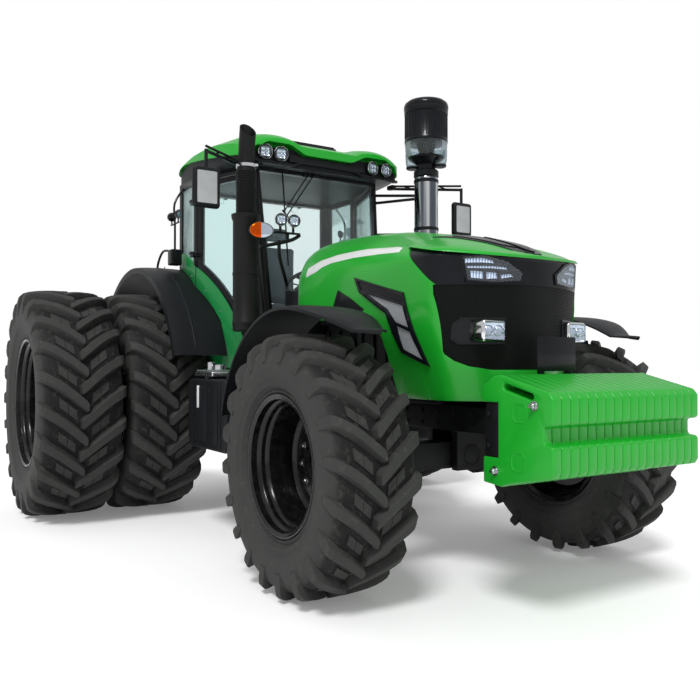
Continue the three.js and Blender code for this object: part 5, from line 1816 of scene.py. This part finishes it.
fitted(
    smooth(joined("precleaner", collar, *bands, bowl, *fins, *braces, core)), "chassis", "black_plastic",
    satin_black.material,
)
smoked = clear_finish("clear_bowl", (0.8, 0.84, 0.86, 1), 0.05)
skirt = upright(
    turned(
        "skirt",
        [(0.182, 3.186), (0.178, 3.12), (0.16, 3.068), (0.155, 3.068), (0.173, 3.12), (0.177, 3.186)], 48,
        True,
    ),
    clean_x, clean_y,
)
cups = [skirt]
for s in (-1, 1):
    cup = upright(
        turned(
            "cup",
            [
                (0, 2.99), (0.04, 2.99), (0.052, 3.002), (0.058, 3.03), (0.062, 3.11), (0.058, 3.11),
                (0.054, 3.032), (0.048, 3.006), (0, 2.996),
            ],
            24,
        ),
        clean_x + s * 0.095, clean_y + s * 0.075,
    )
    cups.append(cup)
fitted(smooth(joined("precleaner_cups", *cups)), "chassis", "cab_glass", smoked.material)
cup_caps = [
    upright(
        turned("cap", [(0, 2.975), (0.046, 2.975), (0.054, 2.982), (0.054, 2.994), (0, 2.994)], 24),
        clean_x + s * 0.095, clean_y + s * 0.075,
    ) for s in (-1, 1)
]
fitted(smooth(joined("precleaner_cup_caps", *cup_caps)), "chassis", "black_plastic", moulded.material)

# ---- Mirrors and marker lamps ----
# Black moulded mirror heads on truss arms bolted under the roof. In front of the right front pillar a
# bent tube arm carries two small round work lamps and an amber and clear marker lamp.
silver = Finish("mirror_face", Roughness=0.16, Metallic=0.3)
silver_haze = silver.noise(5.0, 2.0)
silver.wear(Base_Color=silver.blend(silver_haze, shade(150, 153, 156), shade(204, 206, 208)))
silver.wear(Roughness=silver_haze * 0.2 + 0.1)
mirror_x = axle_x - 1.3
for label, side in sides.items():
    head = prism_block("head", (mirror_x - 0.058, -0.104, 2.425), (mirror_x, 0.104, 2.722), 0.028, 5)
    recess = prism_block(
        "recess", (mirror_x - 0.006, -0.084, 2.448), (mirror_x + 0.03, 0.084, 2.699), 0.022, 4,
    )
    cut(head, recess)
    head.data.transform(Matrix.Translation((0, side * 1.19, 0)))
    middle = (mirror_x - 0.03, side * 1.19)
    foot = Vector((axle_x - 1.72, side * 0.715, 2.872))
    top = Vector((middle[0], middle[1], 2.842))
    arms = [
        swept(
            "post", [(middle[0], middle[1], 2.715), (middle[0], middle[1], 2.85)], round_section(0.013, 12),
            (1, 0, 0),
        ),
        swept(
            "arm", [top + Vector((0, 0, -0.004)), foot + Vector((0, 0, -0.008))], round_section(0.0125, 12),
        ),
        swept(
            "arm", [top + Vector((0, 0, 0.03)), foot + Vector((0.02, 0, 0.012))], round_section(0.0095, 12),
        ),
    ]
    for share in (0.2, 0.45, 0.7):
        a = top.lerp(foot, share)
        arms.append(
            swept(
                "web",
                [
                    a + Vector((0, 0, -0.004)),
                    top.lerp(foot, share + 0.12) + Vector((0, 0, 0.025 - share * 0.015)),
                ],
                round_section(0.006, 8),
            )
        )
    arms.append(
        prism_block(
            "foot", (axle_x - 1.76, side * 0.712 - 0.024, 2.855),
            (axle_x - 1.68, side * 0.712 + 0.024, 2.893), 0.006, 2,
        )
    )
    mirror = joined(f"mirror_head_{label}", head, *arms)
    fitted(smooth(mirror), "chassis", "black_plastic", moulded.material, f"mirror_{label}")
    face = prism_block(
        "face", (mirror_x - 0.008, side * 1.19 - 0.083, 2.449),
        (mirror_x - 0.0035, side * 1.19 + 0.083, 2.698), 0.002, 1,
    )
    face.name = f"mirror_face_{label}"
    fitted(face, "chassis", "bright_pipe", silver.material)

lamp_arm = [
    swept(
        "arm",
        bent(
            [
                (axle_x - 1.48, -0.46, 1.92), (axle_x - 1.4, -0.52, 1.98), (axle_x - 1.33, -0.6, 2.12),
                (axle_x - 1.3, -0.62, 2.24),
            ],
            5,
        ),
        round_section(0.014, 12), (1, 0, 0),
    ),
    swept(
        "bar",
        bent(
            [
                (axle_x - 1.28, -0.79, 2.175), (axle_x - 1.295, -0.7, 2.195), (axle_x - 1.3, -0.52, 2.245),
                (axle_x - 1.31, -0.44, 2.29),
            ],
            5,
        ),
        round_section(0.014, 12),
    ),
    prism_block("plate", (axle_x - 1.325, -0.655, 2.292), (axle_x - 1.275, -0.45, 2.302), 0.003, 2),
    swept(
        "stem", [(axle_x - 1.3, -0.61, 2.3), (axle_x - 1.3, -0.61, 2.345)], round_section(0.01, 10),
        (1, 0, 0),
    ),
    swept(
        "stem", [(axle_x - 1.3, -0.5, 2.3), (axle_x - 1.3, -0.5, 2.345)], round_section(0.01, 10), (1, 0, 0),
    ),
    swept(
        "stem", [(axle_x - 1.3, -0.545, 2.235), (axle_x - 1.3, -0.545, 2.296)], round_section(0.01, 10),
        (1, 0, 0),
    ),
]
fitted(smooth(joined("lamp_arm", *lamp_arm)), "chassis", "black_plastic", cab_black.material)
for number, y in enumerate((-0.61, -0.5)):
    round_lamp(f"arm_lamp_{number + 1}", 0.05, "chassis", facing(axle_x - 1.285, y, 2.392, -0.25, 0.0))
amber = clear_finish("amber_lens", (0.95, 0.5, 0.08, 1), 0.08)
amber.wear(Emission_Color=amber.blend(amber.noise(30.0, 2.0), (0.35, 0.12, 0.01, 1), (0.5, 0.18, 0.02, 1)))
amber.surface.inputs["Emission Strength"].default_value = 0.5


def oval(name, start, end, half, tall, low=-1.0, high=1.0):
    """Part of an oval disc that faces along X, with rounded edges."""
    outline = []
    for i in range(33):
        across = max(low, min(high, math.cos(math.pi * i / 16)))
        outline.append(
            (
                across * half,
                tall * math.copysign(math.sqrt(max(0.0, 1 - across * across)), math.sin(math.pi * i / 16)),
            )
        )
    kept = [
        p for i, p in enumerate(outline[:-1])
        if i == 0 or (Vector(p) - Vector(outline[i - 1])).length > 0.0008
    ]
    return rounded(slab(name, "x", kept, start, end), 0.008, 3)


marker_back = oval("marker", -0.035, 0.0, 0.094, 0.064)
marker_bowl = oval("marker_bowl", 0.0002, 0.0085, 0.084, 0.056)
marker_amber = oval("marker_amber", 0.009, 0.034, 0.088, 0.058, -1.0, -0.03)
marker_clear = oval("marker_clear", 0.009, 0.034, 0.088, 0.058, 0.03, 1.0)
at = facing(axle_x - 1.262, -0.785, 2.292, -0.3, 0.0)
for piece, name, slot, finish in (
    (marker_back, "marker_back", "black_plastic", moulded),
    (marker_bowl, "marker_bowl", "bright_pipe", chrome), (marker_amber, "marker_amber", "cab_glass", amber),
    (marker_clear, "marker_clear", "cab_glass", lens),
):
    piece.data.transform(at)
    piece.name = name
    fitted(smooth(piece), "chassis", slot, finish.material)

# ---- Side tanks and steps ----
# Black moulded fuel and battery boxes under the cab with bevelled edges, straps and a bright reflector on
# the right one, a cast silver tread above it, and a folded steel ladder on the left.
for label, side in sides.items():
    tank = softened(f"side_tank_{label}", f"tank_{label}", 0.022, 4)
    outer = side * 1.08
    extras = []
    for x in (-0.36, 0.18):
        extras.append(
            prism_block(
                "strap", (x - 0.022, min(outer, outer + side * 0.006), 0.68),
                (x + 0.022, max(outer, outer + side * 0.006), 1.175), 0.003, 2,
            )
        )
    for x0, x1 in ((-0.32, -0.06), (-0.02, 0.14)):
        extras.append(
            prism_block(
                "panel", (x0, min(outer, outer + side * 0.005), 0.72),
                (x1, max(outer, outer + side * 0.005), 1.13), 0.004, 2,
            )
        )
    cap = upright(
        turned(
            "cap", [(0, 1.19), (0.05, 1.19), (0.055, 1.2), (0.055, 1.222), (0.045, 1.232), (0, 1.232)], 24,
        ),
        0.2, side * 0.98,
    )
    tank = joined(f"tank_{label}", tank, *extras, cap)
    fitted(smooth(tank), "chassis", "black_plastic", moulded.material, f"side_tank_{label}")
reflector = prism_block("tank_reflector", (-0.25, -1.0895, 0.97), (-0.214, -1.0805, 1.14), 0.002, 2)
fitted(reflector, "chassis", "cab_paint", stripe_white.material)
tread = [prism_block("tread", (-0.43, -1.04, 1.205), (-0.06, -0.72, 1.25), 0.012, 3)]
for i in range(7):
    tread.append(
        swept(
            "bar", [(-0.4 + i * 0.052, -1.03, 1.254), (-0.4 + i * 0.052, -0.74, 1.254)],
            bar_section(0.014, 0.012, 0.4),
        )
    )
tread.append(
    upright(turned("boss", [(0, 1.24), (0.05, 1.24), (0.05, 1.29), (0.04, 1.3), (0, 1.3)], 20), -0.17, -0.93)
)
tread.append(
    upright(
        turned("boss", [(0, 1.24), (0.035, 1.24), (0.035, 1.315), (0.028, 1.32), (0, 1.32)], 20), -0.3, -0.95,
    )
)
fitted(smooth(joined("cast_tread", *tread)), "chassis", "machined_steel", bright_steel.material)
ladder = softened("steps_left", "ladder", 0.004, 2)
fitted(smooth(ladder), "chassis", "dark_casting", cab_black.material, "steps_left")
rail_line = [(0.01, 1.2, 1.16), (0.02, 1.16, 1.45), (-0.02, 1.02, 1.78), (-0.06, 0.8, 1.92)]
hand_rail = swept("hand_rail", bent(rail_line, 6), round_section(0.013, 12), (1, 0, 0))
fitted(smooth(hand_rail), "chassis", "black_plastic", cab_black.material)


# ---- Rear corner posts ----
# A thin black tube up from each rear guard to the roof corner, with a switch box at its foot, two small
# round work lamps half way up and a looped grab rail behind it.
for label, side in sides.items():
    post_x, post_y = -1.3, side * 0.9
    tubes = [
        swept(
            "post",
            bent(
                [
                    (post_x, post_y, 2.19), (post_x, post_y, 2.55), (post_x - 0.01, post_y, 2.75),
                    (post_x - 0.04, side * 0.8, 2.905),
                ],
                4,
            ),
            round_section(0.01, 10), (1, 0, 0),
        ),
        swept(
            "bar", [(post_x - 0.1, post_y, 2.565), (post_x + 0.1, post_y, 2.565)], round_section(0.008, 10),
        ),
        prism_block(
            "box", (post_x - 0.055, post_y - 0.05, 2.19), (post_x + 0.055, post_y + 0.05, 2.33), 0.012, 3,
        ),
        swept("loop", bent([
            (post_x - 0.04, post_y, 2.315), (
                post_x - 0.25, post_y + side * 0.02, 2.345,
            ), (post_x - 0.4, post_y + side * 0.02, 2.26),
            (post_x - 0.45, post_y + side * 0.02, 2.15),
        ], 6), round_section(0.011, 10)),
    ]
    for across in (-0.085, 0.085):
        tubes.append(
            swept(
                "stem", [(post_x + across, post_y, 2.565), (post_x + across, post_y, 2.6)],
                round_section(0.007, 8), (1, 0, 0),
            )
        )
        turn = -side * 0.9 if across > 0 else math.pi + side * 0.5
        round_lamp(
            f"post_lamp_{label}_{1 if across < 0 else 2}", 0.042, "chassis",
            facing(post_x + across, post_y, 2.64, turn, 0.1),
        )
    fitted(smooth(joined(f"corner_post_{label}", *tubes)), "chassis", "black_plastic", cab_black.material)

# ---- Chassis castings ----
# Sand-cast transmission, engine block, axle beam and knuckles and welded frame members, in thick black
# paint, with ribs and bolted covers.
casting = Finish("dark_casting", Roughness=0.6, Specular_IOR_Level=0.2)
cast_grain = casting.noise(14.0, 4.0)
casting.wear(Base_Color=casting.blend(cast_grain, shade(9, 10, 11), shade(23, 24, 26)))
casting.wear(Roughness=cast_grain * 0.25 + 0.42)
casting.relief(casting.noise(120.0, 4.0), 0.35, 0.0025)


def screw_heads(places, radius, axis):
    heads = []
    for x, y, z in places:
        head = turned(
            "head",
            [(0, 0), (radius, 0), (radius, radius * 0.7), (radius * 0.8, radius * 0.85), (0, radius * 0.85)],
            6,
        )
        if axis == "-y":
            head.data.transform(Matrix.Rotation(math.pi, 4, "Z"))
        if axis == "x":
            head.data.transform(Matrix.Rotation(-math.pi / 2, 4, "Z"))
        head.data.transform(Matrix.Translation((x, y, z)))
        heads.append(head)
    return heads


block = softened("engine_block", "engine", 0.01, 3)
block_parts = []
for side in (-1, 1):
    for i in range(6):
        x = 0.4 + i * 0.15
        y = side * 0.282
        block_parts.append(
            prism_block(
                "rib", (x - 0.012, min(y, y + side * 0.02), 1.12),
                (x + 0.012, max(y, y + side * 0.02), 1.55), 0.006, 2,
            )
        )
    block_parts.append(
        swept("rail", [(0.36, side * 0.31, 1.62), (1.3, side * 0.31, 1.62)], round_section(0.03, 14))
    )
    block_parts += screw_heads(
        [(0.42 + i * 0.11, side * 0.281, 1.72) for i in range(9)], 0.014, "y" if side > 0 else "-y"
    )
fitted(
    smooth(joined("engine", block, *block_parts)), "chassis", "dark_casting", casting.material,
    "engine_block",
)

gearbox = softened("transmission", "gearbox", 0.014, 3)
box_parts = []
for side in (-1, 1):
    for i in range(12):
        a = 2 * math.pi * i / 12
        box_parts += screw_heads(
            [(-1.677 + 0.21 * math.cos(a), side * 0.828, 0.97 + 0.21 * math.sin(a))], 0.014,
            "y" if side > 0 else "-y",
        )
fitted(
    smooth(joined("gearbox", gearbox, *box_parts)), "chassis", "dark_casting", casting.material,
    "transmission",
)

members = softened("front_frame", "members", 0.008, 3)
plates = []
for side in (-1, 1):
    y = side * 0.2405
    plates += screw_heads(
        [(1.0 + 0.16 * i, y, z) for i in range(8) for z in (0.94, 1.02)], 0.013, "y" if side > 0 else "-y"
    )
    plates += screw_heads([(2.44, side * 0.546, z) for z in (0.9, 1.06)], 0.015, "y" if side > 0 else "-y")
fitted(
    smooth(joined("members", members, *plates)), "chassis", "dark_casting", casting.material, "front_frame",
)
beam = softened("front_axle_beam", "axle_beam_cast", 0.012, 3)
fitted(beam, "chassis", "dark_casting", casting.material, "front_axle_beam")
for label, side in sides.items():
    cast = softened(f"knuckle_{label}", f"knuckle_cast_{label}", 0.008, 3)
    fitted(cast, f"knuckle_{label}", "dark_casting", casting.material, f"knuckle_{label}")
rod = softened("steering_rod", "track_rod", 0.003, 2)
fitted(rod, "steering_rod", "machined_steel", bright_steel.material, "steering_rod")

# ---- Rear hitch ----
# Forged lower links with ball eyes, lift arms and rods, a swinging drawbar, the splined PTO stub and a top
# link in its stowed place.
link_steel = Finish("link_steel", Roughness=0.45, Metallic=0.7)
link_wear = link_steel.noise(9.0, 4.0)
link_steel.wear(
    Base_Color=link_steel.blend(
        link_steel.steps(link_wear, 0.35, 0.7), shade(60, 62, 66), shade(120, 123, 127),
    )
)
link_steel.wear(Roughness=link_wear * 0.3 + 0.3)
link_steel.relief(link_steel.noise(200.0, 3.0), 0.12, 0.001)
for node, body, finish, slot in (
    ("lift_arms", "lift_arms", casting, "dark_casting"), ("drawbar", "chassis", casting, "dark_casting"),
    ("top_link", "chassis", link_steel, "machined_steel"),
    ("pto_shaft", "pto_shaft", link_steel, "machined_steel"),
    ("lower_link_right", "lower_links", casting, "dark_casting"),
    ("lower_link_left", "lower_links", casting, "dark_casting"),
    ("lift_rod_right", "lift_rods", link_steel, "machined_steel"),
    ("lift_rod_left", "lift_rods", link_steel, "machined_steel"),
):
    piece = softened(node, f"{node}_forged", 0.003, 2)
    fitted(piece, body, slot, finish.material, node)

# A rear lamp cluster on each rear guard, a black box with a red and an amber lens.
tail_red = clear_finish("tail_lens", (0.75, 0.02, 0.02, 1), 0.08)
tail_red.wear(
    Emission_Color=tail_red.blend(tail_red.noise(30.0, 2.0), (0.16, 0.002, 0.002, 1), (0.24, 0.006, 0.006, 1))
)
tail_red.surface.inputs["Emission Strength"].default_value = 0.4
for label, side in sides.items():
    box = prism_block(
        f"tail_box_{label}", (-2.425, side * 0.98 - 0.11, 1.905), (-2.375, side * 0.98 + 0.11, 2.0), 0.012, 3,
    )
    fitted(box, "chassis", "black_plastic", moulded.material)
    for name, y, half, lens in (("red", 1.02, 0.06, tail_red), ("amber", 0.91, 0.035, amber)):
        cover = prism_block(
            f"tail_{name}_{label}", (-2.438, side * y - half, 1.915), (-2.422, side * y + half, 1.99),
            0.006, 3,
        )
        fitted(cover, "chassis", "cab_glass", lens.material)
